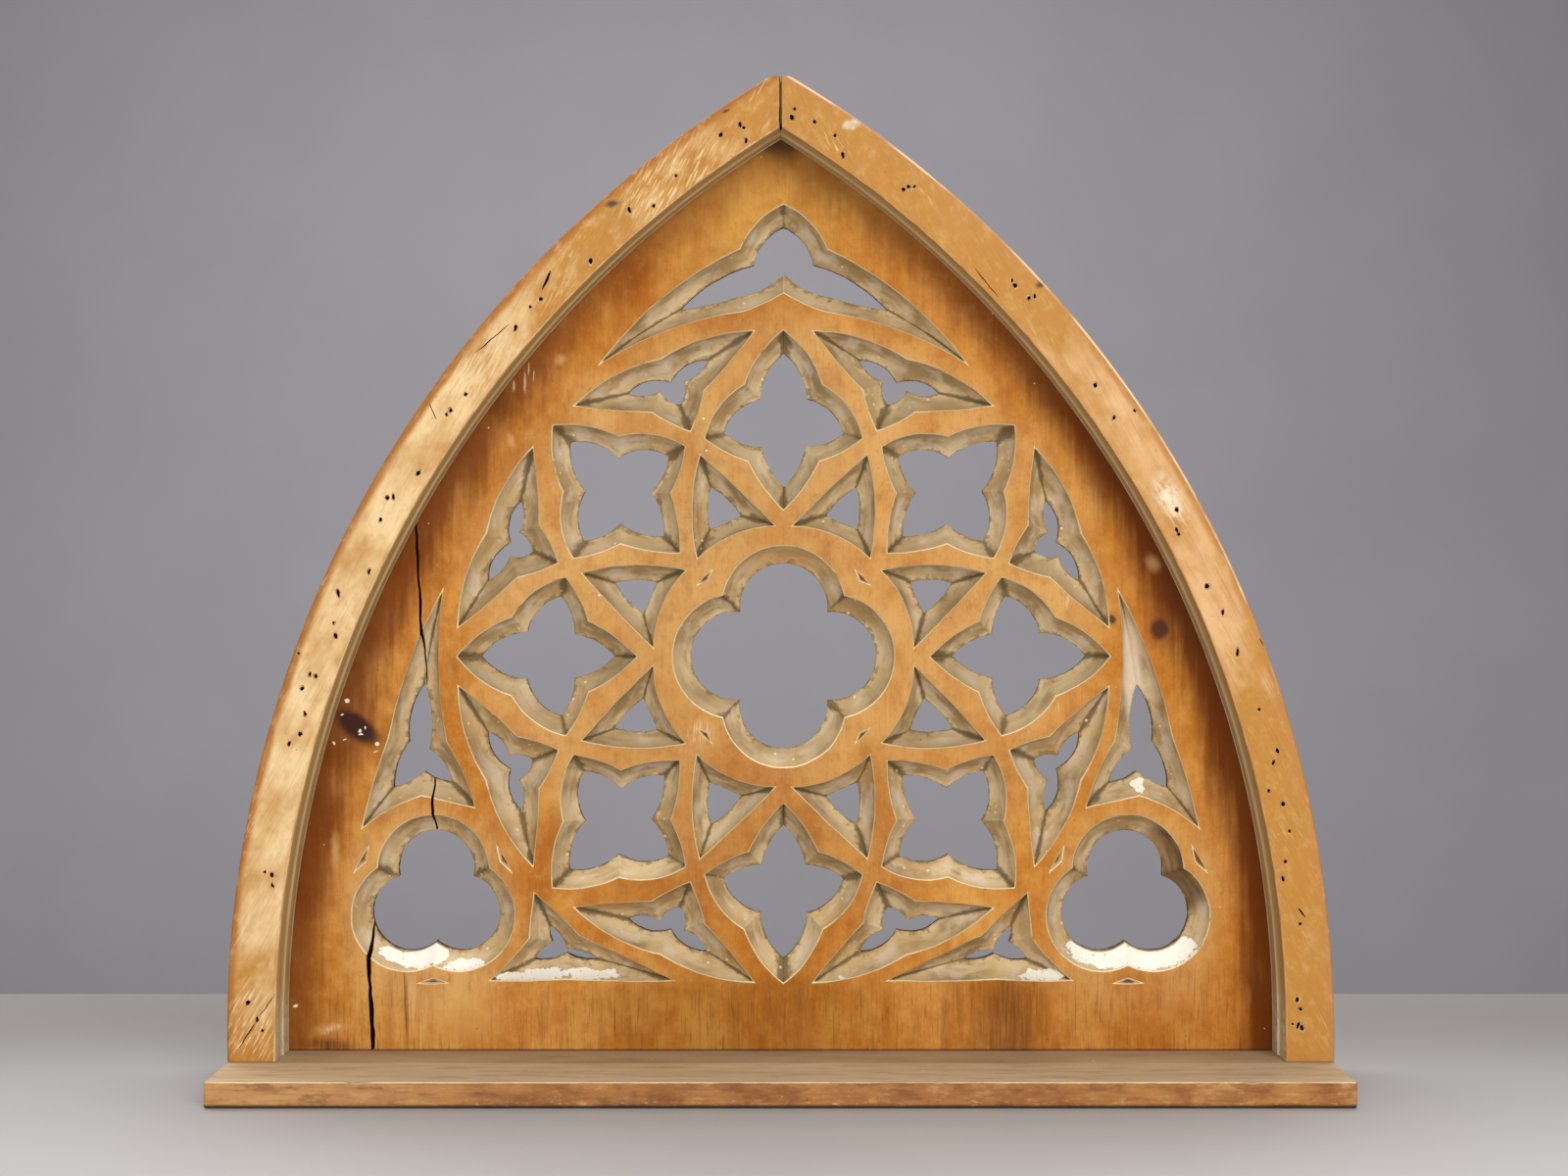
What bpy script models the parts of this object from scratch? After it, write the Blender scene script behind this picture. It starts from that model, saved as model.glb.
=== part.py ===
"""Carved pine tracery panel in a pointed-arch frame that stands on a sill board.

Metres, +Z up. The front faces -Y. The origin is on the table, under the middle of the sill.
Outlines are drawn on the front as complex numbers: real part across, imaginary part up.
"""

import cmath
import math

import bmesh
import bpy

# Sill board
OVERALL_WIDTH = 1.088
SILL_THICKNESS = 0.0254
SILL_NOSING = 0.073
SILL_BACK_LEDGE = 0.003
SILL_EDGE_ROUND = 0.0022

# Curved ribs, one arc struck from the far side for each
ARCH_RADIUS = 1.091
STRAIGHT_FOOT = 0.030
RIB_FACE_WIDTH = 0.048
RIB_EDGE_ROUND = 0.003
FRONT_BAND_DEPTH = 0.024
BAND_STEP = 0.002
REBATE_WIDTH = 0.014
MITRE_GAP_TOP = 0.0018
MITRE_GAP_BELOW = 0.0028
PEAK_WEAR = 0.0058

# Panel
RECESS_DEPTH = 0.044
PANEL_THICKNESS = 0.028
PANEL_BACK_MARGIN = 0.004
SAWN_EDGE = 0.008
HOLLOW_WIDTH = 0.0185
HOLLOW_DIP = 0.0028
NICK_DEPTH = 0.005

# Clearances between pieces
SEAT_GAP = 0.0003
PANEL_FRONT_GAP = 0.0008
PANEL_EDGE_GAP = 0.001

# Splits in the panel's boards
SPLIT_WIDTH = 0.0050
SPLIT_DEPTH = 0.023
SHAKE_WIDTH = 0.0024
SHAKE_DEPTH = 0.014

# The rose as a share of the opening, and where its centre stands up the opening
ROSE_ACROSS_SHARE = 0.6665
ROSE_UP_SHARE = 0.3598
ROSE_CENTRE_SHARE = 0.4325
ROSE_OFF_MIDDLE = 0.003

# Smoothness
RIB_STEPS = 32
OUTLINE_STEP = 0.0200
HOLLOW_LEVELS = 2
HOLE_SHARE = 0.85
STRAIGHTEST_BULGE = 0.0004

# Places that follow from the sizes
HALF_WIDTH = OVERALL_WIDTH / 2
RIB_DEPTH = RECESS_DEPTH + PANEL_THICKNESS + PANEL_BACK_MARGIN
SILL_DEPTH = SILL_NOSING + RIB_DEPTH + SILL_BACK_LEDGE
SILL_FRONT = -SILL_DEPTH / 2
RIB_FRONT = SILL_FRONT + SILL_NOSING
PANEL_FRONT = RIB_FRONT + RECESS_DEPTH
RIB_FOOT = SILL_THICKNESS + SEAT_GAP
SPRING_HEIGHT = SILL_THICKNESS + STRAIGHT_FOOT
ARC_CENTRE_OFFSET = ARCH_RADIUS - HALF_WIDTH
PEAK_HEIGHT = SPRING_HEIGHT + math.sqrt(ARCH_RADIUS ** 2 - ARC_CENTRE_OFFSET ** 2) - PEAK_WEAR
OPENING_INSET = RIB_FACE_WIDTH + BAND_STEP
OPENING_HALF_WIDTH = HALF_WIDTH - OPENING_INSET
OPENING_PEAK = SPRING_HEIGHT + math.sqrt((ARCH_RADIUS - OPENING_INSET) ** 2 - ARC_CENTRE_OFFSET ** 2)
OPENING_HEIGHT = OPENING_PEAK - SILL_THICKNESS
REBATE_INSET = OPENING_INSET - REBATE_WIDTH
ROSE_ACROSS = ROSE_ACROSS_SHARE * OPENING_HALF_WIDTH
ROSE_UP = ROSE_UP_SHARE * OPENING_HEIGHT
ROSE_MIDDLE_SHARE = ROSE_OFF_MIDDLE / ROSE_ACROSS
ROSE_CENTRE_HEIGHT = SILL_THICKNESS + ROSE_CENTRE_SHARE * OPENING_HEIGHT


def clear_scene():
    """Remove whatever the new file holds."""
    for item in list(bpy.data.objects):
        bpy.data.objects.remove(item, do_unlink=True)


def wood(name, colour, roughness):
    """A plain wood material."""
    material = bpy.data.materials.new(name)
    material.use_nodes = True
    shader = material.node_tree.nodes["Principled BSDF"]
    shader.inputs["Base Color"].default_value = (*colour, 1.0)
    shader.inputs["Roughness"].default_value = roughness
    shader.inputs["Metallic"].default_value = 0.0
    return material


def add_object(name, mesh, material):
    """Put a mesh into the scene as a named piece."""
    mesh.materials.append(material)
    piece = bpy.data.objects.new(name, mesh)
    bpy.context.scene.collection.objects.link(piece)
    return piece


def mesh_from(name, vertices, faces):
    """A mesh with its faces turned outwards."""
    mesh = bpy.data.meshes.new(name)
    mesh.from_pydata(vertices, [], faces)
    work = bmesh.new()
    work.from_mesh(mesh)
    bmesh.ops.recalc_face_normals(work, faces=work.faces)
    work.to_mesh(mesh)
    work.free()
    return mesh


def neighbours(items):
    """Each item with the next one, round to the first."""
    return zip(items, items[1:] + items[:1])


# Outlines of the lights, in shares of the rose's radius from the rose's centre.
# A corner is (place, bulge): the bulge is the sagitta of the side that starts there,
# as a share of its chord, and it is negative where that side bows into the light.
# A cut says how the sawn hole differs from the light's outline moved in evenly: how far its
# points and its cusps reach further in, as shares of the rose's radius, and how much more
# its sides bulge.
EVEN_CUT = (0.0, 0.0, 0.0)
DIAMOND_CUT = (-0.006, 0.004, 0.05)
OUTER_CUT = (0.018, 0.017, 0.12)
INNER_CUT = (-0.008, 0.0, 0.05)
TOP_CUT = (0.0, 0.0, 0.045)
TALL_CUT = (0.0, 0.014, 0.09)
TREFOIL_CENTRE = complex(-1.0705, -0.7443)


def polar(radius, degrees):
    """A place by its distance from the rose's centre and its angle from straight up."""
    return cmath.rect(radius, math.radians(90.0 - degrees))


def mirrored(outline):
    """The outline on the other side of the opening's middle line."""
    middle = -2 * ROSE_MIDDLE_SHARE
    return [(complex(middle - place.real, place.imag), bulge) for place, bulge in outline]


def diamond(axis):
    """Pointed four-lobed light with a cusp on each side, long way along its axis."""
    half = [(1.0, 0.0, 0.074), (0.8413, 8.3, 0.105), (0.7081, 20.1, 0.045), (0.6048, 10.45, 0.045)]
    inner_tip = (polar(0.4452, axis), half[-1][2])
    there = [(polar(radius, axis + angle), bulge) for radius, angle, bulge in half]
    back = [
        (polar(radius, axis - angle), half[index - 1][2])
        for index, (radius, angle, _) in reversed(list(enumerate(half)))
        if index > 0
    ]
    return there + [inner_tip] + back


def outer_light(axis):
    """Dagger-cornered light between two diamonds, against the rose's rim."""
    rim, shank, throat = 0.068, 0.012, 0.030
    return [
        (polar(0.9856, axis), rim),
        (polar(1.0, axis + 17.65), shank),
        (polar(0.8467, axis + 5.95), throat),
        (polar(0.7416, axis), throat),
        (polar(0.8467, axis - 5.95), shank),
        (polar(1.0, axis - 17.65), rim),
    ]


def inner_light(axis, diagonal_side):
    """Three-sided light on the central ring; the side by a diagonal diamond bows out."""
    bowed, straight, ring = 0.060, 0.009, -0.105
    sides = (bowed, straight) if diagonal_side > 0 else (straight, bowed)
    return [
        (polar(0.6716, axis), sides[0]),
        (polar(0.3964, axis + 19.5), ring),
        (polar(0.3964, axis - 19.5), sides[1]),
    ]


def foils(centre, cusp_radius, first, count, bulge):
    """Round lobes that meet in cusps at even steps round a centre."""
    step = 360.0 / count
    return [(centre + polar(cusp_radius, first + step * index), bulge) for index in range(count)]


def nick(centre, radius, axis, half_angle, inner_radius):
    """Chip-cut triangle that lies across an axis, its blunt corner towards the centre."""
    return [
        (centre + polar(radius, axis - half_angle), 0.03),
        (centre + polar(radius, axis + half_angle), 0.0),
        (centre + polar(inner_radius, axis), 0.0),
    ]


def top_light():
    """Ogee light under the peak, seated on the rose's rim."""
    right = [(complex(0.1347, 1.246), 0.063), (complex(0.569, 0.8847), -0.058), (complex(0.1245, 1.0515), 0.030)]
    left = [(complex(-0.1245, 1.0515), -0.058), (complex(-0.569, 0.8847), 0.063), (complex(-0.1347, 1.246), 0.094)]
    return [(complex(0.0, 1.384), 0.094)] + right + [(complex(0.0, 1.1084), 0.030)] + left


def side_light():
    """Tall left light between the rib, the rose and the trefoil."""
    return [
        (complex(-1.0360, 0.2147), 0.039),
        (complex(-1.2084, -0.2494), 0.018),
        (complex(-1.2905, -0.5293), -0.055),
        (complex(-1.1050, -0.4263), 0.0),
        (complex(-0.9400, -0.4635), 0.042),
        (complex(-1.0270, -0.2599), -0.046),
    ]


def corner_light():
    """Low left light between the trefoil, the rose and the bottom rail."""
    return [
        (complex(-0.7640, -0.7165), 0.0),
        (complex(-0.7790, -0.8572), -0.036),
        (complex(-0.9040, -0.990), 0.012),
        (complex(-0.6680, -0.9859), 0.010),
        (complex(-0.3273, -0.990), 0.0),
        (complex(-0.6240, -0.8482), 0.012),
    ]


def all_lights():
    """Every light that is cut through the panel, with its cut."""
    lights = [(foils(0j, 0.265, 45.0, 4, 0.41), EVEN_CUT), (top_light(), TOP_CUT)]
    for index in range(8):
        diagonal_side = 1 if index % 2 == 0 else -1
        lights.append((diamond(45.0 * index), DIAMOND_CUT))
        lights.append((outer_light(45.0 * index + 22.5), OUTER_CUT))
        lights.append((inner_light(45.0 * index + 22.5, diagonal_side), INNER_CUT))
    trefoil = foils(TREFOIL_CENTRE, 0.1994, 60.0, 3, 0.475)
    for left, shape in ((side_light(), TALL_CUT), (corner_light(), TALL_CUT), (trefoil, EVEN_CUT)):
        lights.append((left, shape))
        lights.append((mirrored(left), shape))
    return lights


def all_nicks():
    """Every chip-cut triangle that does not go through."""
    nicks = [nick(0j, 0.3443, 45.0 + 90.0 * index, 6.2, 0.3263) for index in range(4)]
    for index in range(3):
        left = nick(TREFOIL_CENTRE, 0.2575, 60.0 + 120.0 * index, 11.5, 0.235)
        nicks.append(left)
        nicks.append(mirrored(left))
    return nicks


# From the drawing to the panel

def on_panel(place):
    """A place of the drawing in metres on the panel's face."""
    return complex(ROSE_OFF_MIDDLE + ROSE_ACROSS * place.real, ROSE_CENTRE_HEIGHT + ROSE_UP * place.imag)


def set_out(outline):
    """The outline on the panel, with its inside on the left of travel."""
    corners = [on_panel(place) for place, _ in outline]
    bulges = [bulge for _, bulge in outline]
    if sum((a.conjugate() * b).imag for a, b in neighbours(corners)) < 0:
        corners.reverse()
        bulges = bulges[-2::-1] + bulges[-1:]
    return corners, bulges


def side_circle(start, end, bulge):
    """Centre and signed radius of a side; the radius is negative where it bows inwards."""
    chord = end - start
    if abs(bulge) < STRAIGHTEST_BULGE:
        bulge = STRAIGHTEST_BULGE
    sagitta = bulge * abs(chord)
    radius = (abs(chord) ** 2 / 4 + sagitta ** 2) / (2 * sagitta)
    left = chord * 1j / abs(chord)
    return (start + end) / 2 + left * (radius - sagitta), radius


def crossing(circle_a, circle_b, near):
    """Where two circles cross, the crossing that is nearer to a given place."""
    (centre_a, radius_a), (centre_b, radius_b) = circle_a, circle_b
    span = centre_b - centre_a
    along = (abs(span) ** 2 + radius_a ** 2 - radius_b ** 2) / (2 * abs(span))
    across = math.sqrt(max(radius_a ** 2 - along ** 2, 0.0))
    ways = [centre_a + span / abs(span) * complex(along, side) for side in (across, -across)]
    return min(ways, key=lambda place: abs(place - near))


def inset_outline(corners, circles, inset, cut_shape, share):
    """Corners and bulges when each side has moved in by the inset, at a share of the cut."""
    point_reach, cusp_reach, swell = cut_shape
    moved = [(centre, radius - inset) for centre, radius in circles]
    inner = [crossing(moved[index - 1], moved[index], corner) for index, corner in enumerate(corners)]
    bulges = []
    for (start, end), (centre, radius) in zip(neighbours(inner), moved):
        chord = end - start
        inwards = chord * 1j / abs(chord)
        sagitta = radius - ((centre - (start + end) / 2) / inwards).real
        bulges.append(sagitta / abs(chord) + swell * share)
    for index, corner in enumerate(corners):
        before, after = corner - corners[index - 1], corners[(index + 1) % len(corners)] - corner
        is_cusp = (before.conjugate() * after).imag < 0
        reach = (cusp_reach if is_cusp else point_reach) * ROSE_ACROSS * share
        if reach:
            inner[index] += (inner[index] - corner) / abs(inner[index] - corner) * reach
    return inner, bulges


def side_points(start, end, bulge, steps):
    """Points along one side's arc, without its last one."""
    centre, radius = side_circle(start, end, bulge)
    turn = cmath.phase((end - centre) / (start - centre))
    if radius > 0 and turn < 0:
        turn += 2 * math.pi
    return [centre + (start - centre) * cmath.rect(1.0, turn * k / steps) for k in range(steps)]


def widest_hollow(corners):
    """The hollow's width, held back in a light too small to keep its hole open."""
    area = sum((a.conjugate() * b).imag for a, b in neighbours(corners)) / 2
    border = sum(abs(b - a) for a, b in neighbours(corners))
    return min(HOLLOW_WIDTH, HOLE_SHARE * 2 * area / border)


def light_rings(outline, cut_shape, levels):
    """The light's outline at each level of its hollow edge, as rings of (place, depth)."""
    corners, bulges = set_out(outline)
    sides = list(neighbours(corners))
    circles = [side_circle(a, b, bulge) for (a, b), bulge in zip(sides, bulges)]
    steps = []
    for (a, b), (_, radius) in zip(sides, circles):
        length = abs(radius) * 2 * math.asin(min(1.0, abs(b - a) / (2 * abs(radius))))
        steps.append(max(2, math.ceil(length / OUTLINE_STEP)))
    width = widest_hollow(corners)
    rings = []
    for share, depth in levels:
        inner, inner_bulges = inset_outline(corners, circles, width * share, cut_shape, share)
        ring = []
        for (a, b), bulge, count in zip(neighbours(inner), inner_bulges, steps):
            ring += side_points(a, b, bulge, count)
        rings.append([(place, depth) for place in ring])
    return rings


def hollow_levels():
    """Shares of the hollow's width with their depths, then the sawn edge down to the back."""
    cut_depth = PANEL_THICKNESS - SAWN_EDGE
    levels = []
    for index in range(HOLLOW_LEVELS + 1):
        share = index / HOLLOW_LEVELS
        levels.append((share, cut_depth * share + HOLLOW_DIP * 4 * share * (1 - share)))
    return levels + [(1.0, PANEL_THICKNESS)]


def arc_heights(inset, steps, end_across):
    """Points up the right side of the arch at an inset from its outside, foot to peak."""
    radius = ARCH_RADIUS - inset
    peak = math.acos((end_across + ARC_CENTRE_OFFSET) / radius)
    points = [complex(HALF_WIDTH - inset, RIB_FOOT)]
    for index in range(steps + 1):
        around = cmath.rect(radius, peak * index / steps)
        points.append(complex(-ARC_CENTRE_OFFSET, SPRING_HEIGHT) + around)
    return points


def panel_border():
    """The panel's own edge, inside the rebate of the ribs, in one closed run."""
    right = arc_heights(REBATE_INSET + PANEL_EDGE_GAP, RIB_STEPS, 0.0)
    left = [complex(-place.real, place.imag) for place in reversed(right[:-1])]
    return right + left


class PanelSolid:
    """Collects the panel's rings of points and the faces between them."""

    def __init__(self):
        self.work = bmesh.new()

    def add_ring(self, ring):
        """Put a ring of (place, depth) into the mesh."""
        return [self.work.verts.new((place.real, PANEL_FRONT + depth, place.imag)) for place, depth in ring]

    def join(self, ring_a, ring_b):
        """Faces between two rings of the same length."""
        for (a, b), (c, d) in zip(neighbours(ring_a), neighbours(ring_b)):
            self.work.faces.new((a, b, d, c))

    def fan(self, ring, place, depth):
        """Faces from a ring to one point."""
        tip = self.add_ring([(place, depth)])[0]
        for a, b in neighbours(ring):
            self.work.faces.new((a, b, tip))

    def cap(self, rings):
        """Fill the flat face inside the first ring and outside the others."""
        edges = [self.work.edges.get(pair) for ring in rings for pair in neighbours(ring)]
        bmesh.ops.triangle_fill(self.work, edges=edges, use_beauty=True)

    def finished(self, name):
        """The closed mesh, its faces turned outwards."""
        bmesh.ops.recalc_face_normals(self.work, faces=self.work.faces)
        mesh = bpy.data.meshes.new(name)
        self.work.to_mesh(mesh)
        self.work.free()
        return mesh


def build_panel(material):
    """The tracery panel: a flat board pierced by lights with hollowed edges."""
    solid = PanelSolid()
    border = panel_border()
    front = [solid.add_ring([(place, 0.0) for place in border])]
    back = [solid.add_ring([(place, PANEL_THICKNESS) for place in border])]
    solid.join(front[0], back[0])
    levels = hollow_levels()
    for outline, cut_shape in all_lights():
        rings = [solid.add_ring(ring) for ring in light_rings(outline, cut_shape, levels)]
        for upper, lower in zip(rings, rings[1:]):
            solid.join(upper, lower)
        front.append(rings[0])
        back.append(rings[-1])
    for outline in all_nicks():
        ring = solid.add_ring(light_rings(outline, EVEN_CUT, [(0.0, 0.0)])[0])
        corners, _ = set_out(outline)
        solid.fan(ring, sum(corners) / len(corners), NICK_DEPTH)
        front.append(ring)
    solid.cap(front)
    solid.cap(back)
    panel = add_object("tracery_panel", solid.finished("tracery_panel"), material)
    for name, path, width, depth in splits():
        cut(panel, wedge(name, path, width, depth))
    return panel


def splits():
    """The open splits: name, places from top to bottom, width and depth at the face."""
    split_low = [complex(-1.2578, -0.703), complex(-1.2668, -0.9126), complex(-1.2503, -1.25)]
    shake_high = [complex(-1.124, 0.42), complex(-1.110, 0.18), complex(-1.098, -0.11)]
    shake_low = [complex(-1.0737, -0.39), complex(-1.0677, -0.55)]
    return [
        ("split_low", split_low, SPLIT_WIDTH, SPLIT_DEPTH),
        ("shake_high", shake_high, SHAKE_WIDTH, SHAKE_DEPTH),
        ("shake_low", shake_low, SHAKE_WIDTH, SHAKE_DEPTH),
    ]


def wedge(name, path, width, depth):
    """A V-shaped cutter that follows a path down the panel's face."""
    vertices = []
    for place in (on_panel(place) for place in path):
        for across, level in ((-width / 2, -SEAT_GAP), (width / 2, -SEAT_GAP), (0.0, depth)):
            vertices.append((place.real + across, PANEL_FRONT + level, place.imag))
    faces = [(0, 1, 2), tuple(len(vertices) - step for step in (1, 2, 3))]
    for start in range(0, len(vertices) - 3, 3):
        for a, b in neighbours([start, start + 1, start + 2]):
            faces.append((a, b, b + 3, a + 3))
    cutter = bpy.data.objects.new(name, mesh_from(name, vertices, faces))
    bpy.context.scene.collection.objects.link(cutter)
    cutter.hide_render = True
    cutter.display_type = "WIRE"
    return cutter


def cut(piece, cutter):
    """Take the cutter's shape out of the piece."""
    modifier = piece.modifiers.new(cutter.name, "BOOLEAN")
    modifier.operation = "DIFFERENCE"
    modifier.solver = "EXACT"
    modifier.object = cutter


def rib_section():
    """The rib's section as (inset from its outside, depth from its front)."""
    corner = 1 - math.sqrt(0.5)
    return [
        (0.0, RIB_EDGE_ROUND),
        (RIB_EDGE_ROUND * corner, RIB_EDGE_ROUND * corner),
        (RIB_EDGE_ROUND, 0.0),
        (RIB_FACE_WIDTH - RIB_EDGE_ROUND / 2, 0.0),
        (RIB_FACE_WIDTH, RIB_EDGE_ROUND / 2),
        (RIB_FACE_WIDTH, FRONT_BAND_DEPTH),
        (OPENING_INSET, FRONT_BAND_DEPTH + BAND_STEP / 2),
        (OPENING_INSET, RECESS_DEPTH - PANEL_FRONT_GAP),
        (REBATE_INSET, RECESS_DEPTH - PANEL_FRONT_GAP),
        (REBATE_INSET, RIB_DEPTH),
        (0.0, RIB_DEPTH),
    ]


def build_rib(name, side, material):
    """One curved rib, from its foot on the sill to the mitre at the peak."""
    section = rib_section()
    vertices = []
    runs = []
    for inset, depth in section:
        half_gap = (MITRE_GAP_TOP + (MITRE_GAP_BELOW - MITRE_GAP_TOP) * inset / OPENING_INSET) / 2
        run = arc_heights(inset, RIB_STEPS, half_gap)
        runs.append(list(range(len(vertices), len(vertices) + len(run))))
        vertices += [(side * place.real, RIB_FRONT + depth, place.imag) for place in run]
    faces = [tuple(run[0] for run in runs), tuple(run[-1] for run in reversed(runs))]
    for run_a, run_b in neighbours(runs):
        for index in range(len(run_a) - 1):
            faces.append((run_a[index], run_a[index + 1], run_b[index + 1], run_b[index]))
    mesh = mesh_from(name, vertices, faces)
    wear_peak(mesh)
    return add_object(name, mesh, material)


def wear_peak(mesh):
    """Take off the sharp tip that has worn away at the peak."""
    work = bmesh.new()
    work.from_mesh(mesh)
    everything = list(work.verts) + list(work.edges) + list(work.faces)
    found = bmesh.ops.bisect_plane(
        work, geom=everything, plane_co=(0, 0, PEAK_HEIGHT), plane_no=(0, 0, 1), clear_outer=True
    )
    rim = [item for item in found["geom_cut"] if isinstance(item, bmesh.types.BMEdge)]
    bmesh.ops.edgeloop_fill(work, edges=rim)
    bmesh.ops.recalc_face_normals(work, faces=work.faces)
    work.to_mesh(mesh)
    work.free()


def build_sill(material):
    """The board that the frame stands on, with softened edges."""
    work = bmesh.new()
    bmesh.ops.create_cube(work, size=1.0)
    bmesh.ops.scale(work, vec=(OVERALL_WIDTH, SILL_DEPTH, SILL_THICKNESS), verts=work.verts)
    bmesh.ops.translate(work, vec=(0, 0, SILL_THICKNESS / 2), verts=work.verts)
    bmesh.ops.bevel(
        work, geom=list(work.edges), offset=SILL_EDGE_ROUND, segments=2, profile=0.5, affect="EDGES"
    )
    mesh = bpy.data.meshes.new("sill")
    work.to_mesh(mesh)
    work.free()
    return add_object("sill", mesh, material)


def main():
    """Build the four pieces."""
    clear_scene()
    rib_wood = wood("worn_pine_rib", (0.66, 0.38, 0.14), 0.45)
    panel_wood = wood("honey_pine_panel", (0.53, 0.27, 0.08), 0.42)
    sill_wood = wood("grey_pine_sill", (0.47, 0.35, 0.24), 0.60)
    build_sill(sill_wood)
    build_rib("left_rib", -1, rib_wood)
    build_rib("right_rib", 1, rib_wood)
    build_panel(panel_wood)


main()
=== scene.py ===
"""Finer wood, finishes and a plain studio for the carved tracery panel.

Metres, +Z up. The front faces -Y. Outlines are drawn on the front as complex numbers:
real part across, imaginary part up.
"""

import cmath
import functools
import math
import operator

import bmesh
import bpy
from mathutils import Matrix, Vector, noise


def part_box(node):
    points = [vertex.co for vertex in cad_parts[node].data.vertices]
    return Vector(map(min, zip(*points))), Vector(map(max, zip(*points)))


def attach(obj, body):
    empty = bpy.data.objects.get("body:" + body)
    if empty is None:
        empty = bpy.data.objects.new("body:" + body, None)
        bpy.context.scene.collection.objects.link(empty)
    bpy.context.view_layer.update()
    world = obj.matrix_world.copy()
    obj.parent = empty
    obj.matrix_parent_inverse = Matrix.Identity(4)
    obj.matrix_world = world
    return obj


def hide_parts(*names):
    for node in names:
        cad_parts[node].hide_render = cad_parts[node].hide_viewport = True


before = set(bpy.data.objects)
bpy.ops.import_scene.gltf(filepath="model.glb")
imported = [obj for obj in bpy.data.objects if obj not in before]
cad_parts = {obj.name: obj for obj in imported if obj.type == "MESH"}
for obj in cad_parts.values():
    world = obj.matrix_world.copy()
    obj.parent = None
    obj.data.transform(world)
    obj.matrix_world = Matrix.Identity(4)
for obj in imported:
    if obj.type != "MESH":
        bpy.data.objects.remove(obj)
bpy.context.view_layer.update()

bl_info = {
    "name": "Carved Tracery Panel",
    "version": (1, 0, 0),
    "blender": (4, 5, 0),
    "location": "View3D > Sidebar > Tracery",
    "description": "Dresses a packed tracery panel in worn pine and sets it in a plain studio",
    "category": "Object",
}

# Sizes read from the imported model
SILL_LOW, SILL_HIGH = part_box("sill")
RIB_LOW, RIB_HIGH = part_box("right_rib")
PANEL_LOW, PANEL_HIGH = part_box("tracery_panel")
HALF_WIDTH = RIB_HIGH.x
RIB_FOOT = RIB_LOW.z
RIB_FRONT = RIB_LOW.y
RIB_DEPTH = RIB_HIGH.y - RIB_LOW.y
PEAK_HEIGHT = RIB_HIGH.z
SILL_THICKNESS = SILL_HIGH.z
PANEL_FRONT = PANEL_LOW.y
PANEL_THICKNESS = PANEL_HIGH.y - PANEL_LOW.y

# Arch and ribs
ARCH_RADIUS = 1.091
SPRING_HEIGHT = SILL_THICKNESS + 0.030
ARC_CENTRE_OFFSET = ARCH_RADIUS - HALF_WIDTH
RIB_FACE_WIDTH = 0.048
OPENING_INSET = 0.050
REBATE_INSET = 0.036
FRONT_BAND_DEPTH = 0.024
PANEL_SEAT_GAP = 0.0008
REBATE_DEPTH = PANEL_FRONT - RIB_FRONT - PANEL_SEAT_GAP
PANEL_EDGE_GAP = 0.001
MITRE_GAP_TOP = 0.0018
MITRE_GAP_BELOW = 0.0028
MITRE_GAP_BEHIND = 0.0002

# Carving
SAWN_EDGE = 0.008
HOLLOW_WIDTH = 0.0185
HOLLOW_DIP = 0.0040
HOLE_SHARE = 0.85
NICK_DEPTH = 0.005
STRAIGHTEST_BULGE = 0.0004
OPENING_PEAK = SPRING_HEIGHT + math.sqrt((ARCH_RADIUS - OPENING_INSET) ** 2 - ARC_CENTRE_OFFSET ** 2)
OPENING_HEIGHT = OPENING_PEAK - SILL_THICKNESS
ROSE_ACROSS = 0.6665 * (HALF_WIDTH - OPENING_INSET)
ROSE_UP = 0.3598 * OPENING_HEIGHT
ROSE_OFF_MIDDLE = 0.003
ROSE_CENTRE_HEIGHT = SILL_THICKNESS + 0.4325 * OPENING_HEIGHT

# Finishes of the panel and the ribs, in the order of their material slots
FACE, ARRIS, HOLLOW, SAWN, BACK, CRACK = range(6)
RIB_FACE, RIB_ARRIS, RIB_SIDE, RIB_CHIP, RIB_BACK, RIB_HOLE = range(6)


def colour(name, description, value):
    """A colour setting."""
    return bpy.props.FloatVectorProperty(
        name=name, description=description, subtype="COLOR", size=3, min=0.0, max=1.0, default=value
    )


def length(name, description, value):
    """A length setting in metres."""
    return bpy.props.FloatProperty(
        name=name, description=description, unit="LENGTH", precision=5, min=0.0, default=value
    )


class TRACERY_PG_panel(bpy.types.PropertyGroup):
    """Sizes and colours of the carved panel."""

    outline_step: length("Outline Step", "Spacing of points round each light", 0.0026)
    arris_width: length("Arris Width", "Width of the worn pale edge round each light", 0.0011)
    hand_wander: length("Hand Wander", "How far a carved line strays from the drawing", 0.0005)
    tool_ripple: length("Tool Ripple", "Depth of the gouge marks in the hollows", 0.0004)
    sawn_chips: length("Sawn Chips", "Largest chip out of the sawn edge", 0.0011)
    face_light: colour("Face Light", "Lighter wax-polished pine", (0.585, 0.285, 0.068))
    face_deep: colour("Face Deep", "Deeper wax-polished pine", (0.455, 0.170, 0.022))
    face_tan: colour("Face Tan", "Wax worn thin on the tracery bars", (0.620, 0.365, 0.135))
    # The rim colour is patina and painted shade in the recess along the ribs
    rim_patina_shade: colour("Rim Brown", "Dark brown of the face along the ribs", (0.120, 0.022, 0.002))
    hollow_light: colour("Hollow Light", "Lighter wood in the hollows", (0.590, 0.432, 0.236))
    hollow_deep: colour("Hollow Deep", "Olive brown in the hollows", (0.335, 0.220, 0.096))
    # The valley colour is grime and painted shade in the corners
    valley_grime_shade: colour("Valley Brown", "Grime in the corners", (0.050, 0.031, 0.013))
    arris_cream: colour("Arris Cream", "Worn edge round each light", (0.86, 0.700, 0.430))
    paint_white: colour("Paint White", "Old paint left in the lower hollows", (0.85, 0.80, 0.70))


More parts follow.
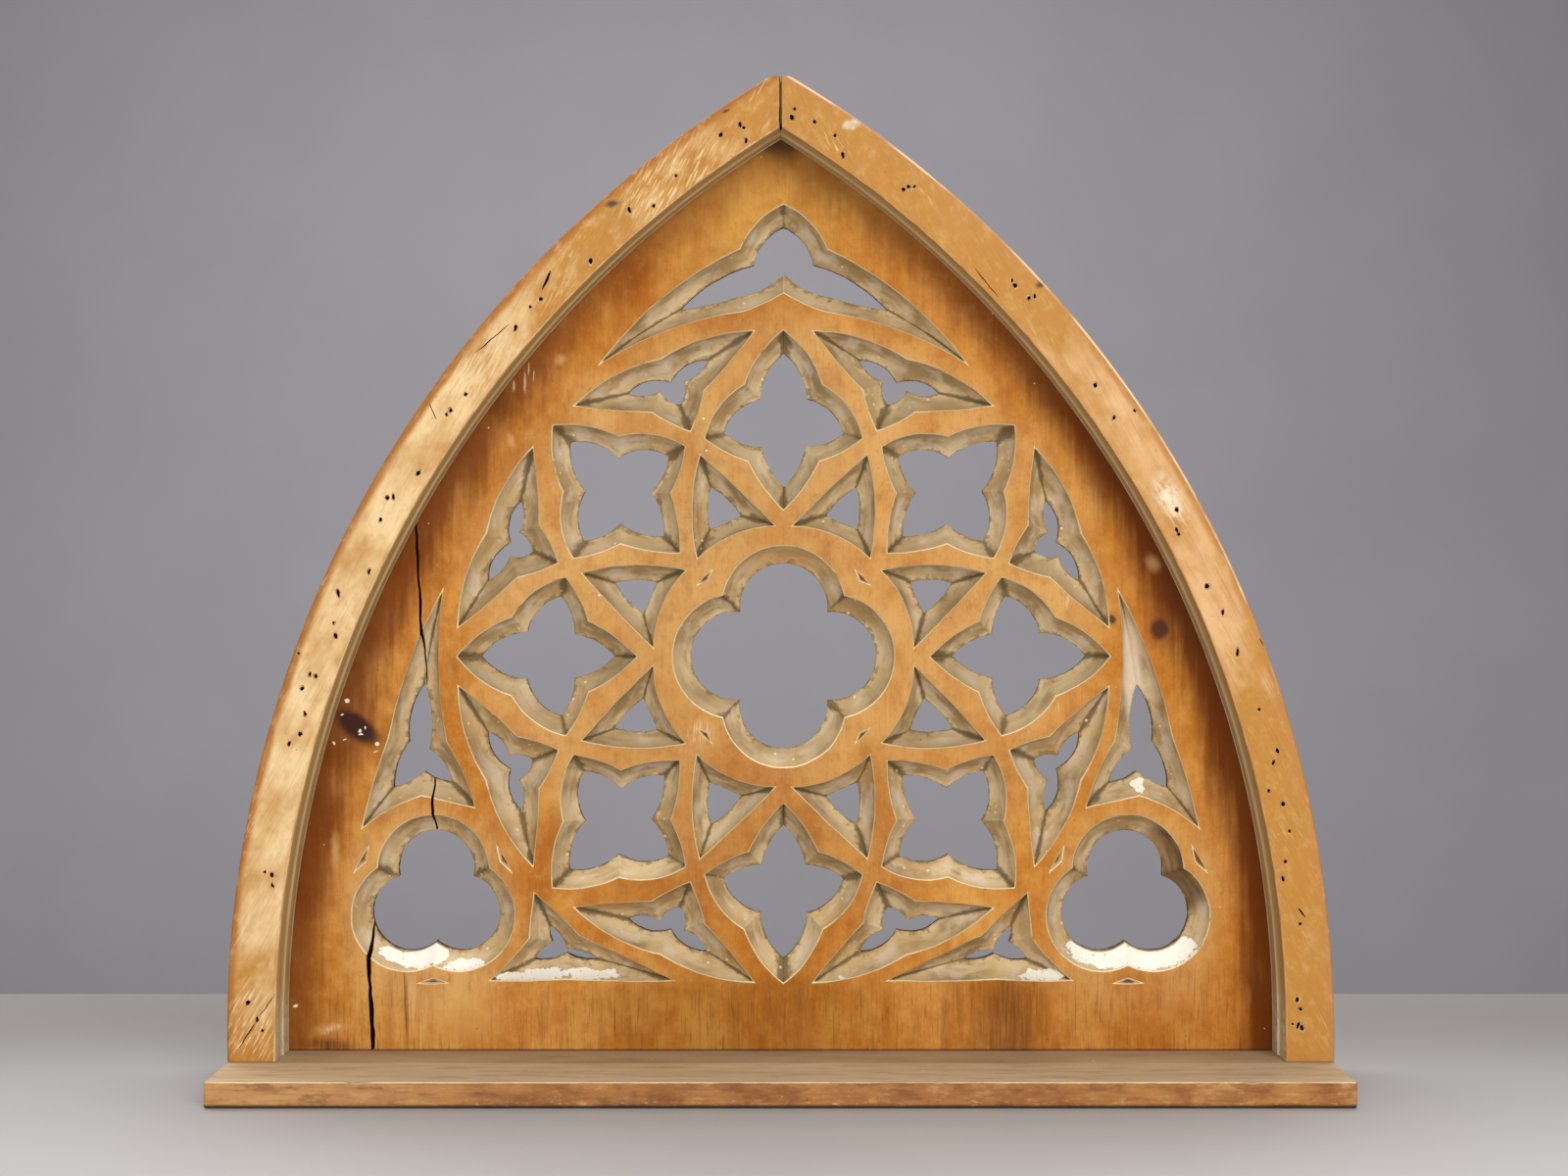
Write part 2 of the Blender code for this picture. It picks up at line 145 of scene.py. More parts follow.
class TRACERY_PG_ribs(bpy.types.PropertyGroup):
    """Sizes and colours of the two ribs."""

    edge_round: length("Edge Round", "Mean radius of the worn outer edge", 0.0034)
    edge_wear: length("Edge Wear", "How much that radius comes and goes", 0.0014)
    straw: colour("Straw", "Pale rubbed wood of the left rib", (0.830, 0.605, 0.318))
    salmon: colour("Salmon", "Rubbed wood of the right rib", (0.740, 0.450, 0.220))
    gold: colour("Gold", "Wood that keeps its wax", (0.500, 0.230, 0.042))
    edge_orange: colour("Edge Orange", "Wax along the edges", (0.400, 0.145, 0.026))
    side_olive: colour("Side Olive", "Dull inner sides", (0.470, 0.325, 0.145))


class TRACERY_PG_sill(bpy.types.PropertyGroup):
    """Sizes and colours of the sill board."""

    edge_round: length("Edge Round", "Mean radius of the worn edges", 0.0015)
    edge_wear: length("Edge Wear", "How much that radius comes and goes", 0.0007)
    top_tan: colour("Top Tan", "Greyed wood on top", (0.625, 0.478, 0.318))
    front_brown: colour("Front Brown", "Waxed wood on the edges", (0.44, 0.192, 0.050))
    worn_edge: colour("Worn Edge", "Rubbed front edge", (0.84, 0.64, 0.38))


class TRACERY_PG_studio(bpy.types.PropertyGroup):
    """Camera, light and stage."""

    lens: bpy.props.FloatProperty(
        name="Lens", description="Focal length", unit="CAMERA", min=10.0, default=42.75
    )
    distance: length("Distance", "From the camera to the middle of the sill", 1.8305)
    height: length("Height", "Camera above the table", 0.4983)
    table_grey: colour("Table Grey", "Colour of the table's front", (0.632, 0.622, 0.636))
    # The far tone is painted shade where the table runs back from the lights
    table_far_shade: colour("Table Far", "Colour of the table's far side", (0.268, 0.250, 0.240))
    wall_grey: colour("Wall Grey", "Colour of the backdrop", (0.322, 0.311, 0.334))
    key_power: bpy.props.FloatProperty(
        name="Key Power", description="Large soft light from the upper right", min=0.0, default=65.0
    )
    fill_power: bpy.props.FloatProperty(
        name="Fill Power", description="Soft light from the left", min=0.0, default=38.0
    )
    sky_power: bpy.props.FloatProperty(
        name="Sky Power", description="Even light from all round", min=0.0, default=0.26
    )


def neighbours(items):
    """Each item with the next one, round to the first."""
    return zip(items, items[1:] + items[:1])


def drift(a, b, c):
    """Smooth noise between -1 and 1."""
    return noise.noise(Vector((a, b, c)))


def ripple(place, size, seed=0.0):
    """Smooth noise between -1 and 1 at a place of the front."""
    return drift(place.real / size, place.imag / size, seed)


# Outlines of the lights, in shares of the rose's radius from the rose's centre.
# A corner is (place, bulge): the bulge is the sagitta of the side that starts there,
# as a share of its chord, and it is negative where that side bows into the light.
# A cut says how the sawn hole differs from the light's outline moved in evenly: how far its
# points and its cusps reach further in, as shares of the rose's radius, and how much more
# its sides bulge.
EVEN_CUT = (0.0, 0.0, 0.0)
DIAMOND_CUT = (-0.006, 0.004, 0.05)
OUTER_CUT = (0.018, 0.017, 0.12)
INNER_CUT = (-0.008, 0.0, 0.05)
TOP_CUT = (0.0, 0.0, 0.045)
TALL_CUT = (0.0, 0.014, 0.09)
TREFOIL_CENTRE = complex(-1.0705, -0.7443)


def polar(radius, degrees):
    """A place by its distance from the rose's centre and its angle from straight up."""
    return cmath.rect(radius, math.radians(90.0 - degrees))


def mirrored(outline):
    """The outline on the other side of the opening's middle line."""
    middle = -2 * ROSE_OFF_MIDDLE / ROSE_ACROSS
    return [(complex(middle - place.real, place.imag), bulge) for place, bulge in outline]


def diamond(axis):
    """Pointed four-lobed light with a cusp on each side, long way along its axis."""
    half = [(1.0, 0.0, 0.074), (0.8413, 8.3, 0.105), (0.7081, 20.1, 0.045), (0.6048, 10.45, 0.045)]
    inner_tip = (polar(0.4452, axis), half[-1][2])
    there = [(polar(radius, axis + angle), bulge) for radius, angle, bulge in half]
    back = [
        (polar(radius, axis - angle), half[index - 1][2])
        for index, (radius, angle, _) in reversed(list(enumerate(half)))
        if index > 0
    ]
    return there + [inner_tip] + back


def outer_light(axis):
    """Dagger-cornered light between two diamonds, against the rose's rim."""
    rim, shank, throat = 0.068, 0.012, 0.030
    return [
        (polar(0.9856, axis), rim),
        (polar(1.0, axis + 17.65), shank),
        (polar(0.8467, axis + 5.95), throat),
        (polar(0.7416, axis), throat),
        (polar(0.8467, axis - 5.95), shank),
        (polar(1.0, axis - 17.65), rim),
    ]


def inner_light(axis, diagonal_side):
    """Three-sided light on the central ring; the side by a diagonal diamond bows out."""
    bowed, straight, ring = 0.060, 0.009, -0.105
    sides = (bowed, straight) if diagonal_side > 0 else (straight, bowed)
    return [
        (polar(0.6716, axis), sides[0]),
        (polar(0.3964, axis + 19.5), ring),
        (polar(0.3964, axis - 19.5), sides[1]),
    ]


def foils(centre, cusp_radius, first, count, bulge):
    """Round lobes that meet in cusps at even steps round a centre."""
    step = 360.0 / count
    return [(centre + polar(cusp_radius, first + step * index), bulge) for index in range(count)]


def nick(centre, radius, axis, half_angle, inner_radius):
    """Chip-cut triangle that lies across an axis, its blunt corner towards the centre."""
    return [
        (centre + polar(radius, axis - half_angle), 0.03),
        (centre + polar(radius, axis + half_angle), 0.0),
        (centre + polar(inner_radius, axis), 0.0),
    ]


def top_light():
    """Ogee light under the peak, seated on the rose's rim."""
    return [
        (complex(0.0, 1.3840), 0.094),
        (complex(0.1347, 1.2460), 0.063),
        (complex(0.5690, 0.8847), -0.058),
        (complex(0.1245, 1.0515), 0.030),
        (complex(0.0, 1.1084), 0.030),
        (complex(-0.1245, 1.0515), -0.058),
        (complex(-0.5690, 0.8847), 0.063),
        (complex(-0.1347, 1.2460), 0.094),
    ]


def side_light():
    """Tall left light between the rib, the rose and the trefoil."""
    return [
        (complex(-1.0360, 0.2147), 0.039),
        (complex(-1.2084, -0.2494), 0.018),
        (complex(-1.2905, -0.5293), -0.055),
        (complex(-1.1050, -0.4263), 0.0),
        (complex(-0.9400, -0.4635), 0.042),
        (complex(-1.0270, -0.2599), -0.046),
    ]


def corner_light():
    """Low left light between the trefoil, the rose and the bottom rail."""
    return [
        (complex(-0.7640, -0.7165), 0.0),
        (complex(-0.7790, -0.8572), -0.036),
        (complex(-0.9040, -0.990), 0.012),
        (complex(-0.6680, -0.9859), 0.010),
        (complex(-0.3273, -0.990), 0.0),
        (complex(-0.6240, -0.8482), 0.012),
    ]


def all_lights():
    """Every light that is cut through the panel, with its cut."""
    lights = [(foils(0j, 0.265, 45.0, 4, 0.41), EVEN_CUT), (top_light(), TOP_CUT)]
    for index in range(8):
        diagonal_side = 1 if index % 2 == 0 else -1
        lights.append((diamond(45.0 * index), DIAMOND_CUT))
        lights.append((outer_light(45.0 * index + 22.5), OUTER_CUT))
        lights.append((inner_light(45.0 * index + 22.5, diagonal_side), INNER_CUT))
    trefoil = foils(TREFOIL_CENTRE, 0.1994, 60.0, 3, 0.475)
    for left, shape in ((side_light(), TALL_CUT), (corner_light(), TALL_CUT), (trefoil, EVEN_CUT)):
        lights.append((left, shape))
        lights.append((mirrored(left), shape))
    return lights


def all_nicks():
    """Every chip-cut triangle that does not go through."""
    nicks = [nick(0j, 0.3443, 45.0 + 90.0 * index, 6.2, 0.3263) for index in range(4)]
    for index in range(3):
        left = nick(TREFOIL_CENTRE, 0.2575, 60.0 + 120.0 * index, 11.5, 0.235)
        nicks.append(left)
        nicks.append(mirrored(left))
    return nicks


# From the drawing to the panel

def on_panel(place):
    """A place of the drawing in metres on the panel's face."""
    return complex(ROSE_OFF_MIDDLE + ROSE_ACROSS * place.real, ROSE_CENTRE_HEIGHT + ROSE_UP * place.imag)


def set_out(outline):
    """The outline on the panel, with its inside on the left of travel."""
    corners = [on_panel(place) for place, _ in outline]
    bulges = [bulge for _, bulge in outline]
    if sum((a.conjugate() * b).imag for a, b in neighbours(corners)) < 0:
        corners.reverse()
        bulges = bulges[-2::-1] + bulges[-1:]
    return corners, bulges


def side_circle(start, end, bulge):
    """Centre and signed radius of a side; the radius is negative where it bows inwards."""
    chord = end - start
    if abs(bulge) < STRAIGHTEST_BULGE:
        bulge = STRAIGHTEST_BULGE
    sagitta = bulge * abs(chord)
    radius = (abs(chord) ** 2 / 4 + sagitta ** 2) / (2 * sagitta)
    left = chord * 1j / abs(chord)
    return (start + end) / 2 + left * (radius - sagitta), radius


def crossing(circle_a, circle_b, near):
    """Where two circles cross, the crossing that is nearer to a given place."""
    (centre_a, radius_a), (centre_b, radius_b) = circle_a, circle_b
    span = centre_b - centre_a
    along = (abs(span) ** 2 + radius_a ** 2 - radius_b ** 2) / (2 * abs(span))
    across = math.sqrt(max(radius_a ** 2 - along ** 2, 0.0))
    ways = [centre_a + span / abs(span) * complex(along, side) for side in (across, -across)]
    return min(ways, key=lambda place: abs(place - near))


def cusps_of(corners):
    """For each corner, whether the outline turns outwards there."""
    turns = []
    for index, corner in enumerate(corners):
        before, after = corner - corners[index - 1], corners[(index + 1) % len(corners)] - corner
        turns.append((before.conjugate() * after).imag < 0)
    return turns


def inset_outline(corners, circles, inset, cut_shape, share):
    """Corners and bulges when each side has moved in by the inset, at a share of the cut."""
    point_reach, cusp_reach, swell = cut_shape
    moved = [(centre, radius - inset) for centre, radius in circles]
    inner = [crossing(moved[index - 1], moved[index], corner) for index, corner in enumerate(corners)]
    bulges = []
    for (start, end), (centre, radius) in zip(neighbours(inner), moved):
        chord = end - start
        inwards = chord * 1j / abs(chord)
        sagitta = radius - ((centre - (start + end) / 2) / inwards).real
        bulges.append(sagitta / abs(chord) + swell * share)
    for index, (corner, is_cusp) in enumerate(zip(corners, cusps_of(corners))):
        reach = (cusp_reach if is_cusp else point_reach) * ROSE_ACROSS * share
        if reach:
            inner[index] += (inner[index] - corner) / abs(inner[index] - corner) * reach
    return inner, bulges


def side_points(start, end, bulge, steps):
    """Points along one side's arc, without its last one."""
    centre, radius = side_circle(start, end, bulge)
    turn = cmath.phase((end - centre) / (start - centre))
    if radius > 0 and turn < 0:
        turn += 2 * math.pi
    return [centre + (start - centre) * cmath.rect(1.0, turn * k / steps) for k in range(steps)]


def widest_hollow(corners):
    """The hollow's width, held back in a light too small to keep its hole open."""
    area = sum((a.conjugate() * b).imag for a, b in neighbours(corners)) / 2
    border = sum(abs(b - a) for a, b in neighbours(corners))
    return min(HOLLOW_WIDTH, HOLE_SHARE * 2 * area / border)


class Light:
    """One light set out on the panel, ready to give its ring of points at any depth."""

    VALLEY_REACH = 0.0085
    RIDGE_REACH = 0.0035
    SHARP_TURN = math.radians(75.0)

    def __init__(self, outline, cut_shape, step):
        self.corners, bulges = set_out(outline)
        self.cut_shape = cut_shape
        self.cusps = cusps_of(self.corners)
        sides = list(neighbours(self.corners))
        self.circles = [side_circle(a, b, bulge) for (a, b), bulge in zip(sides, bulges)]
        self.lengths = []
        for (a, b), (_, radius) in zip(sides, self.circles):
            self.lengths.append(abs(radius) * 2 * math.asin(min(1.0, abs(b - a) / (2 * abs(radius)))))
        self.steps = [max(3, math.ceil(size / step)) for size in self.lengths]
        self.width = widest_hollow(self.corners)
        self.keenness = []
        for index, corner in enumerate(self.corners):
            before = corner - self.corners[index - 1]
            after = self.corners[(index + 1) % len(self.corners)] - corner
            turn = cmath.phase(after / before)
            turn -= 2 * math.atan(2 * bulges[index - 1])
            turn -= 2 * math.atan(2 * bulges[index])
            self.keenness.append(min(1.0, abs(turn) / self.SHARP_TURN))

    def places(self, inset, share):
        """The outline's points when its sides have moved in by an inset."""
        inner, bulges = inset_outline(self.corners, self.circles, inset, self.cut_shape, share)
        found = []
        for (a, b), bulge, count in zip(neighbours(inner), bulges, self.steps):
            found += side_points(a, b, bulge, count)
        return found

    def marks(self):
        """For each point, how near it is to a corner's valley and to a cusp's ridge."""
        found = []
        ends = list(zip(self.cusps, self.keenness))
        for ((start_cusp, start_keen), (end_cusp, end_keen)), size, count in zip(
            neighbours(ends), self.lengths, self.steps
        ):
            for k in range(count):
                valley = ridge = 0.0
                for is_cusp, keen, gap in (
                    (start_cusp, start_keen, size * k / count),
                    (end_cusp, end_keen, size * (1 - k / count)),
                ):
                    if is_cusp:
                        ridge = max(ridge, keen * math.exp(-gap / self.RIDGE_REACH))
                    else:
                        valley = max(valley, keen * math.exp(-gap / self.VALLEY_REACH))
                found.append((valley, ridge))
        return found

    def middle(self):
        """The mean of the corners."""
        return sum(self.corners) / len(self.corners)


class Shape:
    """Collects rings of points and the faces between them, each face with its finish."""

    def __init__(self, *marks):
        self.work = bmesh.new()
        self.layers = [self.work.verts.layers.float.new(name) for name in marks]

    def ring(self, points, marks=None):
        """Put a ring of points into the mesh, with the marks of each."""
        verts = [self.work.verts.new(point) for point in points]
        if marks:
            for vert, values in zip(verts, marks):
                for layer, value in zip(self.layers, values):
                    vert[layer] = value
        return verts

    def join(self, ring_a, ring_b, finish):
        """Faces between two rings of the same length; finish is one slot or a list of them."""
        for index, ((a, b), (c, d)) in enumerate(zip(neighbours(ring_a), neighbours(ring_b))):
            face = self.work.faces.new((a, b, d, c))
            face.material_index = finish if isinstance(finish, int) else finish[index]

    def fan(self, ring, point, finish, marks=None):
        """Faces from a ring to one point."""
        tip = self.ring([point], marks)[0]
        for a, b in neighbours(ring):
            self.work.faces.new((a, b, tip)).material_index = finish

    def cap(self, rings, finish):
        """Fill the flat face inside the first ring and outside the others."""
        edges = [self.work.edges.get(pair) for ring in rings for pair in neighbours(ring)]
        filled = bmesh.ops.triangle_fill(self.work, edges=edges, use_beauty=True)
        for item in filled["geom"]:
            if isinstance(item, bmesh.types.BMFace):
                item.material_index = finish

    def plate(self, ring, finish):
        """One flat face on a ring."""
        self.work.faces.new(ring).material_index = finish

    def bar(self, rings, finish=0, first_end=0, last_end=0):
        """Faces from ring to ring, and a flat face on the first and the last."""
        for ring_a, ring_b in zip(rings, rings[1:]):
            self.join(ring_a, ring_b, finish)
        self.plate(rings[0], first_end)
        self.plate(rings[-1], last_end)

    def finished(self, name):
        """The closed mesh, its faces turned outwards."""
        bmesh.ops.recalc_face_normals(self.work, faces=self.work.faces)
        mesh = bpy.data.meshes.new(name)
        self.work.to_mesh(mesh)
        self.work.free()
        return mesh


def add_piece(name, mesh, finishes, node):
    """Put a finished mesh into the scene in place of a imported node."""
    for finish in finishes:
        mesh.materials.append(finish)
    piece = bpy.data.objects.new(name, mesh)
    bpy.context.scene.collection.objects.link(piece)
    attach(piece, "root")
    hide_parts(node)
    return piece


def soften(mesh, degrees):
    """Smooth shading, kept crisp where faces turn by more than an angle."""
    mesh.shade_smooth()
    mesh.set_sharp_from_angle(angle=math.radians(degrees))


def carve(piece, cutter_mesh, finishes, overlapping=False):
    """Take a cutter's shape out of a piece; the cut faces keep the cutter's finish."""
    for finish in finishes:
        cutter_mesh.materials.append(finish)
    cutter = bpy.data.objects.new("cutter", cutter_mesh)
    bpy.context.scene.collection.objects.link(cutter)
    modifier = piece.modifiers.new("cutter", "BOOLEAN")
    modifier.operation = "DIFFERENCE"
    modifier.solver = "EXACT"
    modifier.material_mode = "TRANSFER"
    modifier.use_self = overlapping
    modifier.object = cutter
    carved = bpy.data.meshes.new_from_object(piece.evaluated_get(bpy.context.evaluated_depsgraph_get()))
    carved.name = piece.data.name + "_carved"
    piece.modifiers.clear()
    piece.data = carved
    bpy.data.objects.remove(cutter, do_unlink=True)


# Tones of stains, grain and wear, and of painted shade, sheen and highlights; those whose names end in tint
# or board multiply what is there
TONES = {
    # The panel's face
    "ruddy_pine": (0.430, 0.140, 0.022),
    "lower_tint": (0.980, 0.930, 0.840),
    "upper_tint": (0.900, 0.800, 0.620),
    "fair_tint": (1.100, 1.170, 1.250),
    "low_bar_tint": (0.840, 0.760, 0.620),
    "blot_brown": (0.260, 0.078, 0.012),
    "peak_amber": (0.580, 0.310, 0.066),
    "pale_honey": (0.640, 0.370, 0.120),
    "umber": (0.310, 0.115, 0.022),
    "peat": (0.240, 0.090, 0.020),
    "straw_speck": (0.700, 0.420, 0.150),
    "band_brown": (0.270, 0.090, 0.012),
    "pore_brown": (0.200, 0.068, 0.012),
    "grain_gold": (0.740, 0.430, 0.140),
    # Its bottom rail
    "amber_tint": (0.800, 0.760, 0.620),
    "rail_honey": (0.660, 0.370, 0.120),
    "rail_stain": (0.140, 0.040, 0.009),
    "rubbed_rail": (0.680, 0.420, 0.165),
    "rail_line": (0.170, 0.055, 0.012),
    "rail_seam": (0.150, 0.048, 0.012),
    # Marks on the face
    "darker_board": (0.930, 0.900, 0.860),
    "lighter_board": (1.050, 1.040, 1.030),
    "dark_stain": (0.110, 0.030, 0.006),
    "knot_halo": (0.220, 0.075, 0.022),
    "knot": (0.038, 0.013, 0.010),
    "painted_shade": (0.070, 0.036, 0.012),
    "soft_spot_and_sheen": (0.680, 0.400, 0.160),
    "scuff_and_sheen": (0.800, 0.620, 0.400),
    "fleck_and_glint": (0.800, 0.730, 0.600),
    "dirt": (0.045, 0.018, 0.008),
    # The worn arrises
    "kept_wax": (0.420, 0.220, 0.075),
    "arris_fibre": (0.600, 0.420, 0.200),
    # The carved hollows
    "ochre": (0.470, 0.285, 0.105),
    "sheen_and_bloom": (0.670, 0.550, 0.420),
    "tool_line": (0.220, 0.150, 0.062),
    "pale_blotch": (0.640, 0.500, 0.310),
    "dark_blotch": (0.250, 0.170, 0.072),
    "warm_hollow": (0.560, 0.310, 0.105),
    "settled_dust": (0.300, 0.205, 0.098),
    "soil_and_shade": (0.110, 0.068, 0.024),
    "crust": (0.150, 0.098, 0.040),
    "hole_edge": (0.110, 0.058, 0.024),
    "trefoil_shade_dark": (0.110, 0.052, 0.016),
    "trefoil_shade_light": (0.260, 0.140, 0.052),
    "pale_patch": (0.740, 0.600, 0.440),
    "worn_lip_and_highlight": (0.720, 0.580, 0.360),
    "crumb": (0.760, 0.670, 0.500),
    "paint_dirt": (0.110, 0.078, 0.034),
    "stained_paint": (0.740, 0.670, 0.530),
    # Sawn walls, backs and cracks
    "sawn_dark": (0.045, 0.018, 0.008),
    "sawn_light": (0.125, 0.058, 0.022),
    "sawn_patch": (0.300, 0.180, 0.080),
    "back_dust": (0.400, 0.330, 0.250),
    "crack_shade_dark": (0.014, 0.006, 0.004),
    "crack_shade_light": (0.075, 0.030, 0.012),
    # The ribs' fronts
    "right_edge": (0.500, 0.225, 0.060),
    "rib_orange": (0.520, 0.240, 0.065),
    "rib_pale": (0.770, 0.555, 0.280),
    "rib_dark": (0.400, 0.185, 0.055),
    "rib_band": (0.420, 0.180, 0.042),
    "rib_grain": (0.360, 0.155, 0.040),
    "rasped_pale": (0.850, 0.630, 0.330),
    "rasp_cut": (0.360, 0.155, 0.036),
    "rib_stain": (0.085, 0.038, 0.022),
    "rib_dot": (0.060, 0.026, 0.010),
    "pale_blob": (0.700, 0.600, 0.460),
    "rubbed_haze_and_highlight": (0.900, 0.760, 0.560),
    "rubbed_line": (0.860, 0.680, 0.440),
    # The ribs' inner edges
    "left_arris_deep": (0.560, 0.310, 0.115),
    "left_arris_light": (0.720, 0.480, 0.230),
    "right_arris_deep": (0.430, 0.215, 0.072),
    "right_arris_light": (0.560, 0.320, 0.120),
    # The ribs' inner sides
    "side_straw": (0.520, 0.370, 0.170),
    "side_line": (0.270, 0.165, 0.060),
    "side_brown": (0.420, 0.250, 0.095),
    "left_side_front": (0.600, 0.370, 0.160),
    "right_side_front": (0.380, 0.190, 0.066),
    "step_shade": (0.240, 0.140, 0.052),
    "pale_bead": (0.930, 0.800, 0.560),
    "foot_dust": (0.640, 0.580, 0.430),
    # Chipped wood
    "chip_pale": (0.720, 0.460, 0.220),
    "chip_deep": (0.360, 0.170, 0.055),
    # The sill
    "top_sand": (0.590, 0.430, 0.270),
    "pale_left_top": (0.740, 0.550, 0.340),
    "top_band": (0.360, 0.225, 0.115),
    "top_grain": (0.330, 0.205, 0.105),
    "top_pale": (0.780, 0.620, 0.420),
    "top_shade": (0.200, 0.110, 0.050),
    "front_deep": (0.300, 0.110, 0.030),
    "pale_left_front": (0.620, 0.350, 0.140),
    "front_stain": (0.190, 0.062, 0.022),
    "front_pale": (0.660, 0.390, 0.150),
    "front_grain": (0.210, 0.085, 0.028),
    "front_fibre": (0.800, 0.600, 0.340),
    "foot_shadow": (0.020, 0.010, 0.005),
    "sill_dot": (0.070, 0.032, 0.014),
    "sill_fleck": (0.780, 0.660, 0.500),
    # The studio
    "studio_tint": (0.960, 0.960, 0.960),
}


class Mark:
    """A number that a material works out at each place; a bar between two keeps the stronger."""

    def __init__(self, finish, socket):
        self.finish = finish
        self.socket = socket

    def __add__(self, other):
        return self.finish.math("ADD", self, other)

    def __sub__(self, other):
        return self.finish.math("SUBTRACT", self, other)

    def __rsub__(self, other):
        return self.finish.math("SUBTRACT", other, self)

    def __mul__(self, other):
        return self.finish.math("MULTIPLY", self, other)

    def __pow__(self, other):
        return self.finish.math("POWER", self, other)

    def __or__(self, other):
        return self.finish.math("MAXIMUM", self, other)

    def __gt__(self, other):
        return self.finish.math("GREATER_THAN", self, other)

    def __lt__(self, other):
        return self.finish.math("LESS_THAN", self, other)

    def spread(self, low, high, to_low=0.0, to_high=1.0):
        """A range of the mark turned softly into another range, held at both ends."""
        return self.finish.mark(
            "ShaderNodeMapRange",
            {"interpolation_type": "SMOOTHSTEP"},
            Value=self,
            From_Min=low,
            From_Max=high,
            To_Min=to_low,
            To_Max=to_high,
        )


class Finish:
    """A procedural material: tones laid one over the other, with marks that say where."""

    def __init__(self, name):
        self.material = bpy.data.materials.new(name)
        self.material.use_nodes = True
        self.nodes = self.material.node_tree.nodes
        self.links = self.material.node_tree.links
        self.shader = self.nodes["Principled BSDF"]
        self.base = None
        self.place = self.add("ShaderNodeTexCoord").outputs["Object"]
        axes = self.add("ShaderNodeSeparateXYZ", Vector=self.place).outputs
        self.x, self.y, self.z = (Mark(self, axis) for axis in axes)

    def add(self, kind, settings=None, **values):
        """A node with its settings, its inputs filled by name."""
        node = self.nodes.new(kind)
        for name, value in (settings or {}).items():
            setattr(node, name, value)
        for name, value in values.items():
            self.feed(node.inputs[name.replace("_", " ")], value)
        return node

    def feed(self, socket, value):
        """Give an input a number, a colour, a tone by its name or another node's output."""
        if isinstance(value, str):
            value = TONES[value]
        if isinstance(value, Mark):
            value = value.socket
        if isinstance(value, bpy.types.NodeSocket):
            self.links.new(value, socket)
        elif socket.type == "RGBA":
            socket.default_value = (*value[:3], 1.0)
        else:
            socket.default_value = value

    def mark(self, kind, settings=None, **values):
        """The first output of a new node as a mark."""
        return Mark(self, self.add(kind, settings, **values).outputs[0])

    def math(self, operation, *values):
        """One sum."""
        node = self.add("ShaderNodeMath", {"operation": operation})
        for socket, value in zip(node.inputs, values):
            self.feed(socket, value)
        return Mark(self, node.outputs[0])

    def moved(self, operation, *values):
        """One sum on places or directions."""
        node = self.add("ShaderNodeVectorMath", {"operation": operation})
        for socket, value in zip(node.inputs, values):
            self.feed(socket, value)
        return node.outputs

    def mix(self, share, first, second, blend="MIX"):
        """Two colours mixed."""
        node = self.add("ShaderNodeMix", {"data_type": "RGBA", "blend_type": blend})
        for index, value in ((0, share), (6, first), (7, second)):
            self.feed(node.inputs[index], value)
        return node.outputs[2]

    def lay(self, tone, share):
        """Lay a tone over the colour, as strong as its share."""
        self.base = self.mix(share, self.base, tone)

    def veil(self, tone, mark, low, high, strength=1.0):
        """Lay a tone over the colour, stronger as a mark goes from low to high."""
        self.lay(tone, mark.spread(low, high, 0.0, strength))

    def tint(self, tone, share):
        """Multiply the colour by a tone, as far as its share goes."""
        self.lay(self.mix(1.0, self.base, tone, "MULTIPLY"), share)

    def attribute(self, name):
        """A mark that the mesh carries on its points."""
        return Mark(self, self.add("ShaderNodeAttribute", {"attribute_name": name}).outputs["Fac"])

    def facing_up(self):
        """How far the surface is turned up, from -1 to 1."""
        normal = self.add("ShaderNodeNewGeometry").outputs["Normal"]
        return Mark(self, self.add("ShaderNodeSeparateXYZ", Vector=normal).outputs["Z"])

    def turned(self, degrees):
        """The place turned on the front, so that its upright runs along the grain."""
        rotation = (0.0, math.radians(degrees), 0.0)
        return self.add("ShaderNodeMapping", Vector=self.place, Rotation=rotation).outputs[0]

    def scaled(self, sizes, shift=(0.0, 0.0, 0.0), place=None):
        """A place counted in cells of the given sizes and shifted by some of them."""
        scale = [1.0 / size for size in sizes]
        node = self.add("ShaderNodeMapping", Vector=place or self.place, Scale=scale, Location=shift)
        return node.outputs[0]

    def noise(self, size, detail=2.0, seed=0.0, place=None, rough=0.5):
        """Smooth noise from 0 to 1; the size may differ along the three axes."""
        sizes = size if isinstance(size, tuple) else (size, size, size)
        cells = self.scaled(sizes, (seed * 7.31, seed * 3.17, seed * 5.53), place)
        return self.mark("ShaderNodeTexNoise", Vector=cells, Scale=1.0, Detail=detail, Roughness=rough)

    def streaks(self, across, cycles, along, seed=0.0):
        """Streaks that follow a mark closely and run long beside it."""
        return self.mark(
            "ShaderNodeTexNoise",
            {"noise_dimensions": "4D"},
            Vector=self.scaled([along] * 3, (seed, 0.0, 0.0)),
            Detail=2.0,
            Scale=1.0,
            W=across * cycles,
        )

    def specks(self, size, share, radius, seed=0.0):
        """Scattered dots: the share of cells that hold one, and its radius in cells."""
        cells = self.scaled([size] * 3, (seed, seed, 0.0))
        node = self.add("ShaderNodeTexVoronoi", Vector=cells, Scale=1.0)
        chance = self.mark("ShaderNodeSeparateColor", Color=node.outputs["Color"])
        return (chance < share) * Mark(self, node.outputs["Distance"]).spread(radius, radius * 0.6)

    def worn_place(self, amount, size):
        """The place pushed about a little, which makes a mark's edge ragged."""
        cells = self.scaled([size] * 3)
        cloud = self.add("ShaderNodeTexNoise", Vector=cells, Scale=1.0, Detail=3.0)
        push = self.moved("SUBTRACT", cloud.outputs["Color"], (0.5, 0.5, 0.5))[0]
        return self.moved("MULTIPLY_ADD", push, (amount, amount, amount), self.place)[0]

